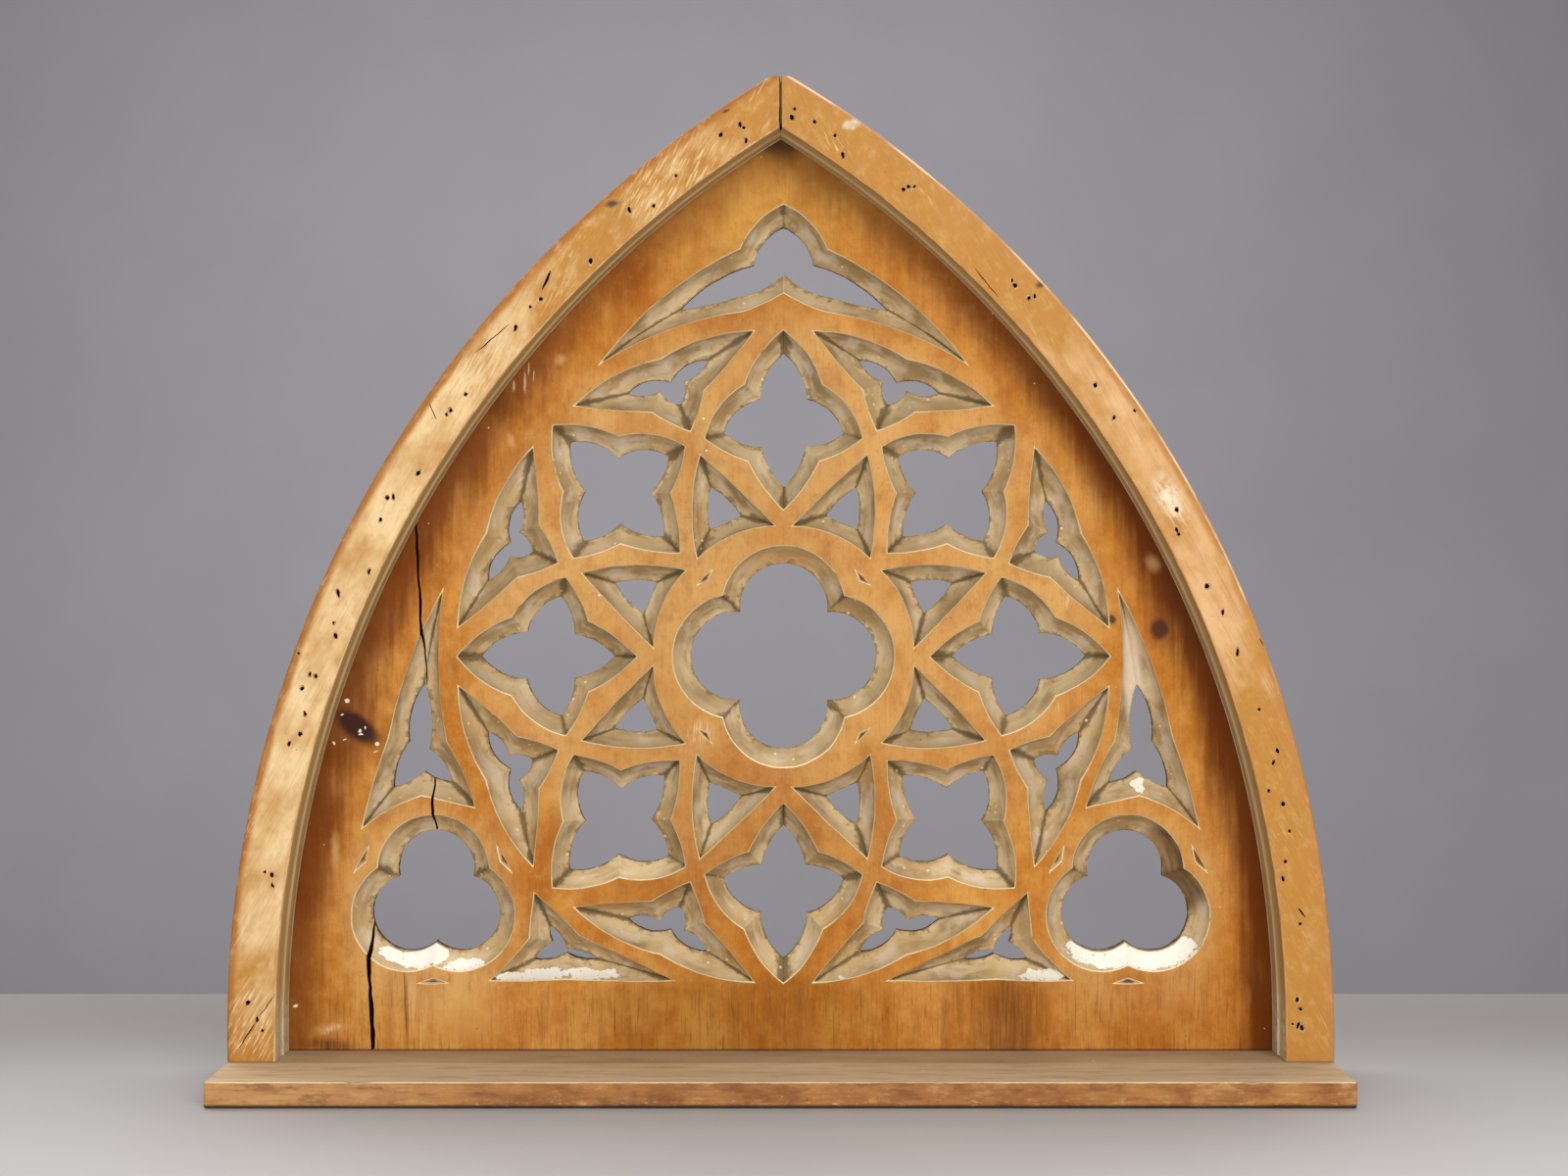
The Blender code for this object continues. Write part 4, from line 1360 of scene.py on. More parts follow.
def add_split(shape, places, width, depth, front, blunt=0.25):
    """A ragged wedge-shaped cutter that follows a path down a face; blunt is its width at the ends."""
    stations = []
    for a, b in zip(places, places[1:]):
        count = max(2, round(abs(b - a) / SPLIT_STEP))
        stations += [a + (b - a) * k / count for k in range(count)]
    stations.append(places[-1])
    way = places[-1] - places[0]
    beside = way * 1j / abs(way)
    rings = []
    for index, place in enumerate(stations):
        share = index / (len(stations) - 1)
        taper = min(1.0, blunt + 3.0 * share, blunt + 3.0 * (1 - share))
        swing = SPLIT_SWING * ripple(place, SPLIT_SWING_SIZE, 2.2)
        half = width / 2 * taper * (SPLIT_USUAL_SHARE + swing)
        shift = SPLIT_STRAY * ripple(place, SPLIT_STRAY_SIZE, 5.5)
        floor = depth * taper
        corners = [(half, -CUTTER_LIFT), (-half, -CUTTER_LIFT), (-half * 0.5, floor), (half * 0.5, floor)]
        row = []
        for across, level in corners:
            point = place + beside * (across + shift)
            row.append((point.real, front + level, point.imag))
        rings.append(shape.ring(row))
    shape.bar(rings)


class TRACERY_OT_panel(bpy.types.Operator):
    """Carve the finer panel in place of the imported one"""

    bl_idname = "tracery.panel"
    bl_label = "Carve Panel"

    def execute(self, context):
        settings = context.scene.tracery_panel
        shape = Shape("valley", "ridge", "across")
        right = arc_heights(REBATE_INSET + PANEL_EDGE_GAP, BORDER_STEPS, 0.0)
        border = right + [complex(-place.real, place.imag) for place in reversed(right[:-1])]
        front = [shape.ring([(place.real, PANEL_FRONT, place.imag) for place in border])]
        back = [shape.ring([(place.real, PANEL_FRONT + PANEL_THICKNESS, place.imag) for place in border])]
        shape.join(front[0], back[0], BACK)
        for outline, cut_shape in all_lights():
            first, last = carve_light(shape, Light(outline, cut_shape, settings.outline_step), settings)
            front.append(first)
            back.append(last)
        for outline in all_nicks():
            front.append(carve_nick(shape, outline, settings))
        shape.cap(front, FACE)
        shape.cap(back, BACK)
        crack = crack_finish()
        finishes = [
            wax_finish(settings),
            arris_finish(settings),
            hollow_finish(settings),
            sawn_finish(),
            back_finish("panel_back", (0.40, 0.235, 0.105)),
            crack,
        ]
        mesh = shape.finished("carved_panel")
        panel = add_piece("carved_panel", mesh, finishes, "tracery_panel")
        cutter = Shape()
        for path, width, depth, blunt in split_paths():
            add_split(cutter, [on_panel(place) for place in path], width, depth, PANEL_FRONT, blunt)
        carve(panel, cutter.finished("split_cutter"), [crack])
        soften(panel.data, 34)
        return {"FINISHED"}


# Ribs

# Nail holes in each rib's face, as (across, up) in metres, the left rib's under -1
NAILS = {
    -1: [
        (-0.0399, 0.9456), (-0.0361, 0.9427), (-0.0587, 0.9359), (-0.0337, 0.9302), (-0.1029, 0.8955),
        (-0.1486, 0.8619), (-0.1246, 0.8657), (-0.1866, 0.8119), (-0.2352, 0.7743), (-0.2458, 0.7667),
        (-0.2602, 0.7460), (-0.3092, 0.6806), (-0.3285, 0.6609), (-0.3862, 0.5791), (-0.3929, 0.5579),
        (-0.4343, 0.4858), (-0.4564, 0.4040), (-0.4622, 0.4060), (-0.4699, 0.3915), (-0.4669, 0.3675),
        (-0.0197, 0.9292), (-0.3237, 0.6647), (-0.3804, 0.5801), (-0.4720, 0.3474),
        (-0.4827, 0.3376), (-0.5064, 0.2117), (-0.4997, 0.2088), (-0.4987, 0.1982), (-0.5228, 0.0833),
        (-0.5141, 0.0664), (-0.5088, 0.0559), (-0.3557, 0.6034), (-0.4040, 0.5064), (-0.4391, 0.4564),
        (-0.4370, 0.4436), (-0.4733, 0.4265),
    ],
    1: [
        (0.0139, 0.9609), (0.0111, 0.9528), (0.0332, 0.9484), (0.0534, 0.9350), (0.0611, 0.9157),
        (0.1255, 0.8850), (0.1313, 0.8850), (0.1207, 0.8821), (0.2275, 0.7926), (0.2304, 0.7878),
        (0.2438, 0.7753), (0.2496, 0.7772), (0.3092, 0.6897), (0.3275, 0.6580), (0.3477, 0.6647),
        (0.3891, 0.5676), (0.3891, 0.5474), (0.4189, 0.4925), (0.4343, 0.4666), (0.4699, 0.3713),
        (0.4881, 0.3309), (0.4841, 0.3189), (0.4935, 0.2784), (0.4935, 0.2047), (0.5103, 0.1607),
        (0.5074, 0.0857), (0.5107, 0.0770), (0.5030, 0.0626), (0.5083, 0.0610), (0.3910, 0.5435),
        (0.5122, 0.0587), (0.4958, 0.2221), (0.4996, 0.2517), (0.4488, 0.4270), (0.4793, 0.2916),
    ],
}

# Marks on the ribs, laid out as the face's: stains, cracks with their width, rasped
# patches with their softness last, and nicks in the outer edge with their size
RIB_STAINS = {
    -1: [((-0.1650, 0.8676), (0.0105, 0.0048), 12.0), ((-0.0534, 0.9590), (0.0060, 0.0020), 30.0)],
    1: [((0.2554, 0.7888), (0.0080, 0.0050), 30.0), ((0.1521, 0.8920), (0.0090, 0.0035), -38.0)],
}
RIB_CRACKS = {
    -1: [
        ((-0.2256, 0.8022), (-0.2347, 0.7830), 0.0030),
        ((-0.2659, 0.7503), (-0.2996, 0.7214), 0.0013),
        ((-0.3448, 0.6724), (-0.3371, 0.6560), 0.0012),
        ((-0.4320, 0.6020), (-0.4250, 0.5850), 0.0011),
        ((-0.4415, 0.5440), (-0.4390, 0.5330), 0.0020),
        ((-0.5353, 0.0337), (-0.5141, 0.0664), 0.0013),
        ((-0.5141, 0.0664), (-0.4958, 0.0924), 0.0011),
    ],
    1: [
        ((0.5080, 0.1768), (0.5155, 0.1672), 0.0024),
        ((0.1900, 0.8050), (0.2140, 0.7760), 0.0010),
        ((0.4700, 0.4420), (0.4740, 0.4330), 0.0012),
    ],
}
RASPED = {
    -1: [
        ((-0.105, 0.892), (0.085, 0.040), 38.0, 0.7),
        ((-0.520, 0.060), (0.030, 0.060), 0.0, 0.6),
        ((-0.300, 0.700), (0.060, 0.030), 50.0, 0.8),
    ],
    1: [((0.384, 0.574), (0.036, 0.020), -62.0, 0.8), ((0.056, 0.926), (0.022, 0.012), -40.0, 0.8)],
}
EDGE_NICKS = [(-0.0673, 0.9494, 0.0045), (-0.0543, 0.9571, 0.0035), (-0.1188, 0.9119, 0.0045)]


def rib_finish(name, side, settings):
    """Rubbed wax over pine whose grain runs straight from foot to peak."""
    finish = Finish(name)
    seed = 60.0 + side
    chord = finish.turned(28.5 * side)
    grain = finish.noise((0.0016, 0.02, 0.06), detail=3.0, seed=seed, place=chord)
    bands = finish.noise((0.009, 0.05, 0.26), detail=3.0, seed=seed + 4, place=chord)
    rasp = finish.noise((0.0019, 0.02, 0.017), detail=3.0, seed=seed + 8, place=chord)
    cloud = finish.noise((0.036, 0.04, 0.065), detail=4.0, seed=seed + 12, place=chord, rough=0.52)
    mottle = finish.noise((0.008, 0.02, 0.011), detail=5.0, seed=seed + 20, place=chord, rough=0.62)
    orange = finish.noise((0.022, 0.03, 0.045), detail=4.0, seed=seed + 16, place=chord, rough=0.55)
    inwards = finish.from_arch(0.0)
    edge = inwards + cloud * -0.012
    middle = edge.spread(-0.002, 0.005) * edge.spread(0.046, 0.037)
    if side < 0:
        high, foot = finish.z.spread(0.66, 0.86, 0.04, 0.8), finish.z.spread(0.2, 0.05, 0.0, 0.62)
        straw, blotchy, outer_edge = settings.straw, 1.0, settings.edge_orange
    else:
        high, foot = finish.z.spread(0.66, 0.8, 0.1, 1.0), finish.z.spread(0.5, 0.3, 0.0, 0.95)
        straw, blotchy, outer_edge = settings.salmon, 0.7, "right_edge"
    rubbed = cloud.spread(0.28, 0.66, 0.25, 1.1) - (high | foot)
    rubbed = (rubbed | 0.0) * middle
    finish.base = finish.mix(middle, outer_edge, settings.gold)
    finish.lay(straw, rubbed)
    finish.veil("rib_orange", orange, 0.5, 0.74, 0.55 * blotchy)
    finish.veil("rib_pale", mottle, 0.48, 0.76, 0.34 * blotchy)
    finish.veil("rib_dark", mottle, 0.52, 0.24, 0.3 * blotchy)
    finish.veil("rib_band", bands, 0.5, 0.76, 0.3)
    finish.veil("rib_grain", grain, 0.5, 0.76, 0.34)
    front = finish.y.spread(RIB_FRONT + 0.013, RIB_FRONT + 0.003)
    rasped = finish.spots(finish.place, RASPED[side]) * finish.y.spread(RIB_FRONT + 0.034, RIB_FRONT + 0.006)
    rasped = rasped | orange.spread(0.46, 0.32, 0.0, 0.5 * blotchy)
    finish.lay("rasped_pale", rasp.spread(0.52, 0.64) * (rasped * 0.7))
    finish.lay("rasp_cut", rasp.spread(0.46, 0.34) * (rasped * 0.4))
    worn = finish.worn_place(0.003, 0.005)
    stains = finish.spots(worn, RIB_STAINS[side], 0.8) * front
    smudge = finish.noise((0.0075, 0.02, 0.022), detail=4.0, seed=seed + 24, place=chord, rough=0.62)
    stains = stains | smudge.spread(0.68, 0.78, 0.0, 0.7 * blotchy)
    finish.lay("rib_stain", stains * 0.92)
    dots = finish.specks(0.017, 0.24, 0.05, seed) | finish.specks(0.009, 0.1, 0.06, seed + 5)
    finish.lay("rib_dot", dots * 0.7)
    if side > 0:
        blob = finish.spot(finish.worn_place(0.007, 0.005), (0.0697, 0.9456), (0.0115, 0.007), 15.0, 0.6)
        blob = blob * mottle.spread(0.3, 0.6, 0.55, 0.95)
        finish.lay("pale_blob", blob * front)
        # Pale haze on the right rib: rubbed wood and a painted highlight
        haze = finish.spot(finish.worn_place(0.012, 0.01), (0.381, 0.58), (0.034, 0.017), -62.0, 0.9)
        haze = haze * mottle.spread(0.36, 0.6, 0.1, 0.85)
        finish.lay("rubbed_haze_and_highlight", haze * front)
        line = inwards.spread(0.0004, 0.0012) * inwards.spread(0.0034, 0.0022)
        line = line * cloud.spread(0.36, 0.56, 0.1, 0.85)
        line = line * finish.z.spread(0.36, 0.52)
        finish.lay("rubbed_line", line)
    gloss = cloud.spread(0.3, 0.7, 0.44, 0.62)
    height = grain + rasp - dots * 1.6
    return finish.done(gloss, height, 0.0004, 0.5, 0.16)


def rib_arris_finish(name, side):
    """A rib's soft inner front edge, between the rubbed face and the dull side."""
    finish = Finish(name)
    rub = finish.noise((0.014, 0.014, 0.03), detail=4.0, seed=84.0 + side)
    hand = "left" if side < 0 else "right"
    finish.base = finish.mix(rub.spread(0.36, 0.62), hand + "_arris_deep", hand + "_arris_light")
    return finish.done(0.62, rub, 0.0003, 0.3, 0.2)


def rib_side_finish(name, side, settings):
    """A rib's inner side: warm near the front, streaky olive behind, a pale line at the panel."""
    finish = Finish(name)
    cloud = finish.noise((0.024, 0.008, 0.034), detail=4.0, seed=75.0 + side)
    fuzz = finish.noise((0.0026, 0.0026, 0.008), detail=3.0, seed=78.0 + side)
    lines = finish.noise((0.07, 0.0017, 0.07), detail=3.0, seed=71.0 + side)
    broad = finish.noise((0.11, 0.006, 0.11), detail=3.0, seed=73.0 + side)
    depth = finish.y - RIB_FRONT
    wavy = depth + (cloud - 0.5) * 0.006
    rough = wavy + (fuzz - 0.5) * 0.003
    finish.base = finish.mix(broad.spread(0.34, 0.7, 0.2, 0.8), settings.side_olive, "side_straw")
    finish.veil("side_line", lines, 0.48, 0.76, 0.14)
    finish.veil("side_brown", cloud, 0.52, 0.72, 0.36)
    tint = "left_side_front" if side < 0 else "right_side_front"
    finish.veil(tint, wavy, 0.013, 0.002, 0.8)
    shade = rough.spread(0.031, 0.0335) * rough.spread(0.037, 0.035)
    finish.lay("step_shade", shade * 0.26)
    bead = rough.spread(0.038, 0.04)
    worn = finish.z.spread(0.4, 0.75, 0.5, 1.0) if side < 0 else finish.z.spread(0.95, 0.6, 0.3, 0.8)
    bead = bead * worn * cloud.spread(0.34, 0.5, 0.55, 1.0)
    finish.lay("pale_bead", bead)
    foot = finish.z.spread(0.11, 0.05) * fuzz.spread(0.4, 0.56, 0.2, 0.9)
    finish.lay("foot_dust", foot)
    return finish.done(0.7, lines + fuzz, 0.0005, 0.5, 0.15)


def pale_break_finish():
    """Fresh pale wood where a chip has come away."""
    finish = Finish("chipped_rim")
    fibre = finish.noise((0.0012, 0.0012, 0.005), detail=2.0, seed=81.0)
    finish.base = finish.mix(fibre.spread(0.36, 0.66), "chip_pale", "chip_deep")
    return finish.done(0.75, fibre, 0.0004, 0.6, 0.2)


# Wear of the ribs' section
INNER_ROUND = 0.0013
INNER_WEAR = 0.0007
LEAST_INNER_ROUND = 0.0006
FACE_DIP = 0.00045
GRAIN_DEPTH = 0.00022
STEP_WANDER = 0.0004
SIDE_LEAN = 0.0005
OUTSIDE_WEAR = 0.00025
STEP_ROUND = 0.0008
STEP_CORNER = 0.0006
STEP_LEAN = 0.0002
STEP_CUT = 0.0010
STEP_WALL = 0.0080
REBATE_ROUND = 0.0008
BACK_ROUND = 0.0022
BACK_CORNER = 0.0006
PEAK_ROUND = 0.0011

# The mitre is open down to one depth and closes over the next; nicks in the outer edge
MITRE_OPEN_DEPTH = 0.005
MITRE_CLOSING = 0.010
EDGE_NICK_DEPTH = 0.0022
EDGE_NICK_REACH = 0.006


def rib_outline(settings, station):
    """The rib's worn section at a station, as (inset, depth, finish of the side that starts there)."""
    wear = drift(station * 9.0, 2.5, 0.3)
    fine = drift(station * 60.0, 5.5, 0.9)
    outer = settings.edge_round + settings.edge_wear * (wear + 0.5 * fine)
    inner = INNER_ROUND + INNER_WEAR * (drift(station * 14.0, 9.1, 0.4) + 0.7 * fine)
    inner = max(LEAST_INNER_ROUND, inner)
    dip = FACE_DIP * (1.0 + drift(station * 5.0, 7.7, 1.2))
    step_line = OPENING_INSET + STEP_WANDER * drift(station * 22.0, 3.3, 2.2)
    points = []
    for index in range(6):
        turn = math.pi / 2 * index / 5
        points.append((outer * (1 - math.sin(turn)), outer * (1 - math.cos(turn)), RIB_FACE))
    points.reverse()
    for share in (0.12, 0.3, 0.5, 0.7, 0.88):
        inset = outer + (RIB_FACE_WIDTH - inner - outer) * share
        grain = drift(station * 30.0, share * 5.0, 4.4)
        points.append((inset, dip * math.sin(math.pi * share) + GRAIN_DEPTH * (1 + grain), RIB_FACE))
    for index in range(4):
        turn = math.pi / 2 * index / 3
        inset = RIB_FACE_WIDTH - inner * (1 - math.sin(turn))
        points.append((inset, inner * (1 - math.cos(turn)), RIB_ARRIS if index < 3 else RIB_SIDE))
    lean = SIDE_LEAN * drift(station * 11.0, 6.1, 3.1)
    return points + [
        (RIB_FACE_WIDTH + lean * 0.5, FRONT_BAND_DEPTH * 0.35, RIB_SIDE),
        (RIB_FACE_WIDTH - abs(lean) * 0.5, FRONT_BAND_DEPTH * 0.75, RIB_SIDE),
        (RIB_FACE_WIDTH, FRONT_BAND_DEPTH - STEP_ROUND, RIB_SIDE),
        (RIB_FACE_WIDTH + STEP_CORNER, FRONT_BAND_DEPTH, RIB_SIDE),
        (step_line - STEP_LEAN, FRONT_BAND_DEPTH + STEP_CUT, RIB_SIDE),
        (step_line, FRONT_BAND_DEPTH + STEP_WALL, RIB_SIDE),
        (OPENING_INSET, REBATE_DEPTH, RIB_SIDE),
        (REBATE_INSET, REBATE_DEPTH, RIB_BACK),
        (REBATE_INSET, RIB_DEPTH - REBATE_ROUND, RIB_BACK),
        (REBATE_INSET - REBATE_ROUND, RIB_DEPTH, RIB_BACK),
        (BACK_ROUND, RIB_DEPTH, RIB_BACK),
        (BACK_CORNER, RIB_DEPTH - BACK_CORNER, RIB_BACK),
        (0.0, RIB_DEPTH - BACK_ROUND, RIB_FACE),
        (OUTSIDE_WEAR * (1 + wear), RIB_DEPTH * 0.6, RIB_FACE),
        (OUTSIDE_WEAR * (1 + fine), RIB_DEPTH * 0.3, RIB_FACE),
    ]


def soft_top(up):
    """A height held under the worn peak, rounded over."""
    start = PEAK_HEIGHT - PEAK_ROUND
    if up <= start:
        return up
    return PEAK_HEIGHT - PEAK_ROUND * math.exp((start - up) / PEAK_ROUND)


def rib_place(inset, depth, share, side):
    """A point of the rib at an inset, a depth and a share of the way from foot to peak."""
    open_gap = MITRE_GAP_TOP + (MITRE_GAP_BELOW - MITRE_GAP_TOP) * inset / OPENING_INSET
    open_gap *= 1.0 + 0.45 * drift(inset * 170.0, 3.0 * side, 0.5)
    closing = min(1.0, max(0.0, (depth - MITRE_OPEN_DEPTH) / MITRE_CLOSING))
    half_gap = (open_gap + (MITRE_GAP_BEHIND - open_gap) * closing) / 2
    radius = ARCH_RADIUS - inset
    peak = math.acos((half_gap + ARC_CENTRE_OFFSET) / radius)
    foot = SPRING_HEIGHT - RIB_FOOT
    along = share * (foot + radius * peak)
    if along < foot:
        place = complex(HALF_WIDTH - inset, RIB_FOOT + along)
    else:
        place = complex(-ARC_CENTRE_OFFSET, SPRING_HEIGHT) + cmath.rect(radius, (along - foot) / radius)
    nick = 0.0
    for across, up, size in EDGE_NICKS:
        if side < 0 and inset < EDGE_NICK_REACH:
            gap = abs(complex(-place.real, place.imag) - complex(across, up))
            nick = max(nick, EDGE_NICK_DEPTH * math.exp(-(gap / size) ** 2))
    worn = place + (complex(-ARC_CENTRE_OFFSET, SPRING_HEIGHT) - place) / radius * nick
    return (side * worn.real, RIB_FRONT + depth + nick * 0.5, soft_top(worn.imag))


NAIL_SIDES = 12
NAIL_SINK = 0.0004

# Depth below the face, radius and raggedness down a nail hole
NAIL_LEVELS = ((-0.0010, 0.0034, 0.6), (0.0003, 0.0026, 0.6), (0.0010, 0.0018, 0.4), (0.0090, 0.0015, 0.2))


def add_nail(shape, place, seed):
    """A nail hole with a ragged rim chipped to one side, often drawn out to a slot, as a cutter."""
    size = 0.72 + 0.52 * (seed * 0.618 % 1.0)
    slot = 1.0 + 0.9 * (seed * 0.414 % 1.0) ** 2
    lean = cmath.rect(1.0, math.radians(60.0 + 60.0 * (seed * 0.273 % 1.0)))
    chipped_way = cmath.rect(0.0009 * (seed * 0.531 % 1.0), math.tau * (seed * 0.377 % 1.0))
    rings = []
    for index_down, (level, radius, ragged) in enumerate(NAIL_LEVELS):
        middle = place + chipped_way if index_down < 2 else place
        row = []
        for index in range(NAIL_SIDES):
            way = cmath.rect(1.0, 2 * math.pi * index / NAIL_SIDES)
            mark = drift(way.real * 1.3 + seed, way.imag * 1.3, seed * 0.7)
            oval = complex(way.real * slot, way.imag / math.sqrt(slot)) * lean
            point = middle + oval * radius * size * (1.0 + ragged * mark)
            row.append((point.real, RIB_FRONT + level + NAIL_SINK, point.imag))
        rings.append(shape.ring(row))
    for upper, lower, finish in zip(rings, rings[1:], (0, 0, 1)):
        shape.join(upper, lower, finish)
    shape.plate(rings[0], 0)
    shape.plate(rings[-1], 1)


class TRACERY_OT_ribs(bpy.types.Operator):
    """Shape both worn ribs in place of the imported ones"""

    bl_idname = "tracery.ribs"
    bl_label = "Shape Ribs"

    STATIONS = 280
    CRACK_DEPTH = 0.007

    def execute(self, context):
        settings = context.scene.tracery_ribs
        chip, hole = pale_break_finish(), crack_finish()
        back = back_finish("rib_back", (0.43, 0.270, 0.125))
        for side, name in ((-1, "left"), (1, "right")):
            shape = Shape()
            rings = []
            for index in range(self.STATIONS + 1):
                share = index / self.STATIONS
                section = rib_outline(settings, share + 10 * side)
                points = [rib_place(inset, depth, share, side) for inset, depth, _ in section]
                rings.append(shape.ring(points))
            shape.bar(rings, [finish for _, _, finish in section], RIB_SIDE, RIB_HOLE)
            woods = [
                rib_finish(name + "_rib_face", side, settings),
                rib_arris_finish(name + "_rib_arris", side),
                rib_side_finish(name + "_rib_side", side, settings),
                chip,
                back,
                hole,
            ]
            mesh = shape.finished(name + "_rib")
            rib = add_piece("worn_" + name + "_rib", mesh, woods, name + "_rib")
            cutter = Shape()
            for index, (across, up) in enumerate(NAILS[side]):
                add_nail(cutter, complex(across, up), index + 20.0 * side)
            carve(rib, cutter.finished(name + "_nail_cutter"), [chip, hole], overlapping=True)
            cutter = Shape()
            for start, end, width in RIB_CRACKS[side]:
                add_split(cutter, [complex(*start), complex(*end)], width, self.CRACK_DEPTH, RIB_FRONT)
            carve(rib, cutter.finished(name + "_crack_cutter"), [hole])
            soften(rib.data, 40)
        return {"FINISHED"}


# Sill

# Dents in the top: place across and from front to back, size and depth
DENTS = [
    (-0.3985, -0.0740, 0.008, 0.0020),
    (0.4449, -0.0740, 0.006, 0.0018),
    (0.1500, -0.0750, 0.004, 0.0010),
]
TOP_WEAR = 0.00018
CORNER_STEPS = 6
UNDER_ROUND_SHARE = 2.1
UNDER_PLACES = (0.03, -0.03)
TOP_SHARES = (0.15, 0.35, 0.55, 0.8)


def sill_finish(settings):
    """Greyed top, waxed edges, a rubbed front arris and a painted shadow along the foot of the front."""
    finish = Finish("worn_sill")
    grain = finish.noise((0.05, 0.008, 0.0022), detail=4.0, seed=91.0, rough=0.62)
    bands = finish.noise((0.3, 0.016, 0.008), detail=3.0, seed=92.0)
    cloud = finish.noise((0.07, 0.04, 0.026), detail=5.0, seed=93.0, rough=0.58)
    upwards = finish.facing_up().spread(0.6, 0.86)
    left = finish.x.spread(-0.2, -0.5)
    finish.base = finish.mix(cloud.spread(0.34, 0.68), settings.top_tan, "top_sand")
    finish.lay("pale_left_top", left * 0.6)
    finish.veil("top_band", bands, 0.48, 0.72, 0.34)
    finish.veil("top_grain", grain, 0.5, 0.7, 0.46)
    finish.veil("top_pale", grain, 0.42, 0.28, 0.3)
    deep = finish.y.spread(-0.012, -0.001)
    finish.lay("top_shade", deep * 0.4)
    top = finish.base
    finish.base = finish.mix(cloud.spread(0.36, 0.66), settings.front_brown, "front_deep")
    finish.lay("pale_left_front", left * 0.55)
    stain = finish.noise((0.028, 0.02, 0.01), detail=5.0, seed=96.0, rough=0.62)
    finish.veil("front_stain", stain, 0.5, 0.66, 0.6)
    finish.veil("front_pale", stain, 0.46, 0.3, 0.45)
    finish.veil("front_grain", grain, 0.5, 0.7, 0.5)
    finish.lay(top, upwards)
    fibres = finish.noise((0.01, 0.004, 0.0013), detail=4.0, seed=94.0, rough=0.66)
    low = finish.z.spread(0.012, 0.004, 0.15, 0.85)
    fibre = fibres.spread(0.58, 0.66) * low
    finish.lay("front_fibre", fibre * (1.0 - upwards))
    reach = finish.z - finish.y - (SILL_THICKNESS - SILL_LOW.y)
    ragged = cloud * 0.0008 + fibres * 0.0012
    rub = (reach + ragged).spread(-0.0006, 0.0002)
    finish.lay(settings.worn_edge, rub * 0.92)
    # Painted contact shadow: a near-black band along the foot of the front
    foot_shadow_share = (finish.z + cloud * 0.003).spread(0.0066, 0.0034)
    finish.lay("foot_shadow", foot_shadow_share * 0.92)
    dots = finish.specks(0.016, 0.3, 0.06, 95.0) | finish.specks(0.008, 0.14, 0.08, 99.0)
    finish.lay("sill_dot", dots * 0.65)
    pale = finish.specks(0.034, 0.25, 0.05, 97.0)
    finish.lay("sill_fleck", pale * 0.6)
    gloss = cloud.spread(0.3, 0.7, 0.46, 0.66)
    return finish.done(gloss, grain - dots, 0.0004, 0.5, 0.3)


def sill_section(settings, across):
    """The sill's worn section at a place along it, as (y, z)."""
    middle = complex((SILL_LOW.y + SILL_HIGH.y) / 2, SILL_THICKNESS / 2)
    half = complex((SILL_HIGH.y - SILL_LOW.y) / 2, SILL_THICKNESS / 2)
    points = []
    for index, (way_y, way_z) in enumerate(((-1, 1), (1, 1), (1, -1), (-1, -1))):
        wear = drift(across * 7.0, index * 4.0, 1.5) + 0.6 * drift(across * 45.0, index * 4.0, 6.5)
        if way_z > 0:
            radius = settings.edge_round + settings.edge_wear * wear
        else:
            radius = settings.edge_round * UNDER_ROUND_SHARE
        corner = middle + complex(way_y * (half.real - radius), way_z * (half.imag - radius))
        for step in range(CORNER_STEPS):
            turn = 180.0 - 90.0 * index - 90.0 / (CORNER_STEPS - 1) * step
            points.append(corner + cmath.rect(radius, math.radians(turn)))
        if index == 0:
            depth = SILL_HIGH.y - SILL_LOW.y
            points += [complex(SILL_LOW.y + depth * share, SILL_THICKNESS) for share in TOP_SHARES]
        if index == 2:
            points += [complex(place, 0.0) for place in UNDER_PLACES]
    worn = []
    for point in points:
        sink = 0.0
        for place, depth_place, size, depth in DENTS:
            gap = math.hypot(across - place, (point.real - depth_place) * 0.8)
            sink = max(sink, depth * math.exp(-(gap / size) ** 2))
        if point.imag > SILL_THICKNESS / 2:
            sink += TOP_WEAR * (1 + drift(across * 12.0, point.real * 40.0, 8.0))
        else:
            sink = 0.0
        worn.append((point.real, max(0.0, point.imag - sink)))
    return worn


class TRACERY_OT_sill(bpy.types.Operator):
    """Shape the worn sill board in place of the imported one"""

    bl_idname = "tracery.sill"
    bl_label = "Shape Sill"

    STATIONS = 260
    END_ROUND = 0.0018

    def execute(self, context):
        settings = context.scene.tracery_sill
        shape = Shape()
        centre = complex((SILL_LOW.y + SILL_HIGH.y) / 2, SILL_THICKNESS / 2)
        end = []
        for turn in (0.0, 0.5, 1.0):
            end.append((SILL_LOW.x + self.END_ROUND * (1 - math.cos(turn)), 1 - math.sin(turn)))
        start = SILL_LOW.x + self.END_ROUND
        run = SILL_HIGH.x - SILL_LOW.x - 2 * self.END_ROUND
        stops = end + [(start + run * k / self.STATIONS, 0.0) for k in range(self.STATIONS + 1)]
        stops += [(-across, tuck) for across, tuck in reversed(end)]
        rings = []
        for across, tuck in stops:
            row = []
            for y, z in sill_section(settings, across):
                pull = self.END_ROUND * tuck
                y -= math.copysign(min(pull, abs(y - centre.real)), y - centre.real)
                z -= math.copysign(min(pull, abs(z - centre.imag)), z - centre.imag)
                row.append((across, y, z))
            rings.append(shape.ring(row))
        shape.bar(rings)
        mesh = shape.finished("worn_sill")
        sill = add_piece("worn_sill", mesh, [sill_finish(settings)], "sill")
        soften(sill.data, 40)
        return {"FINISHED"}


# Studio

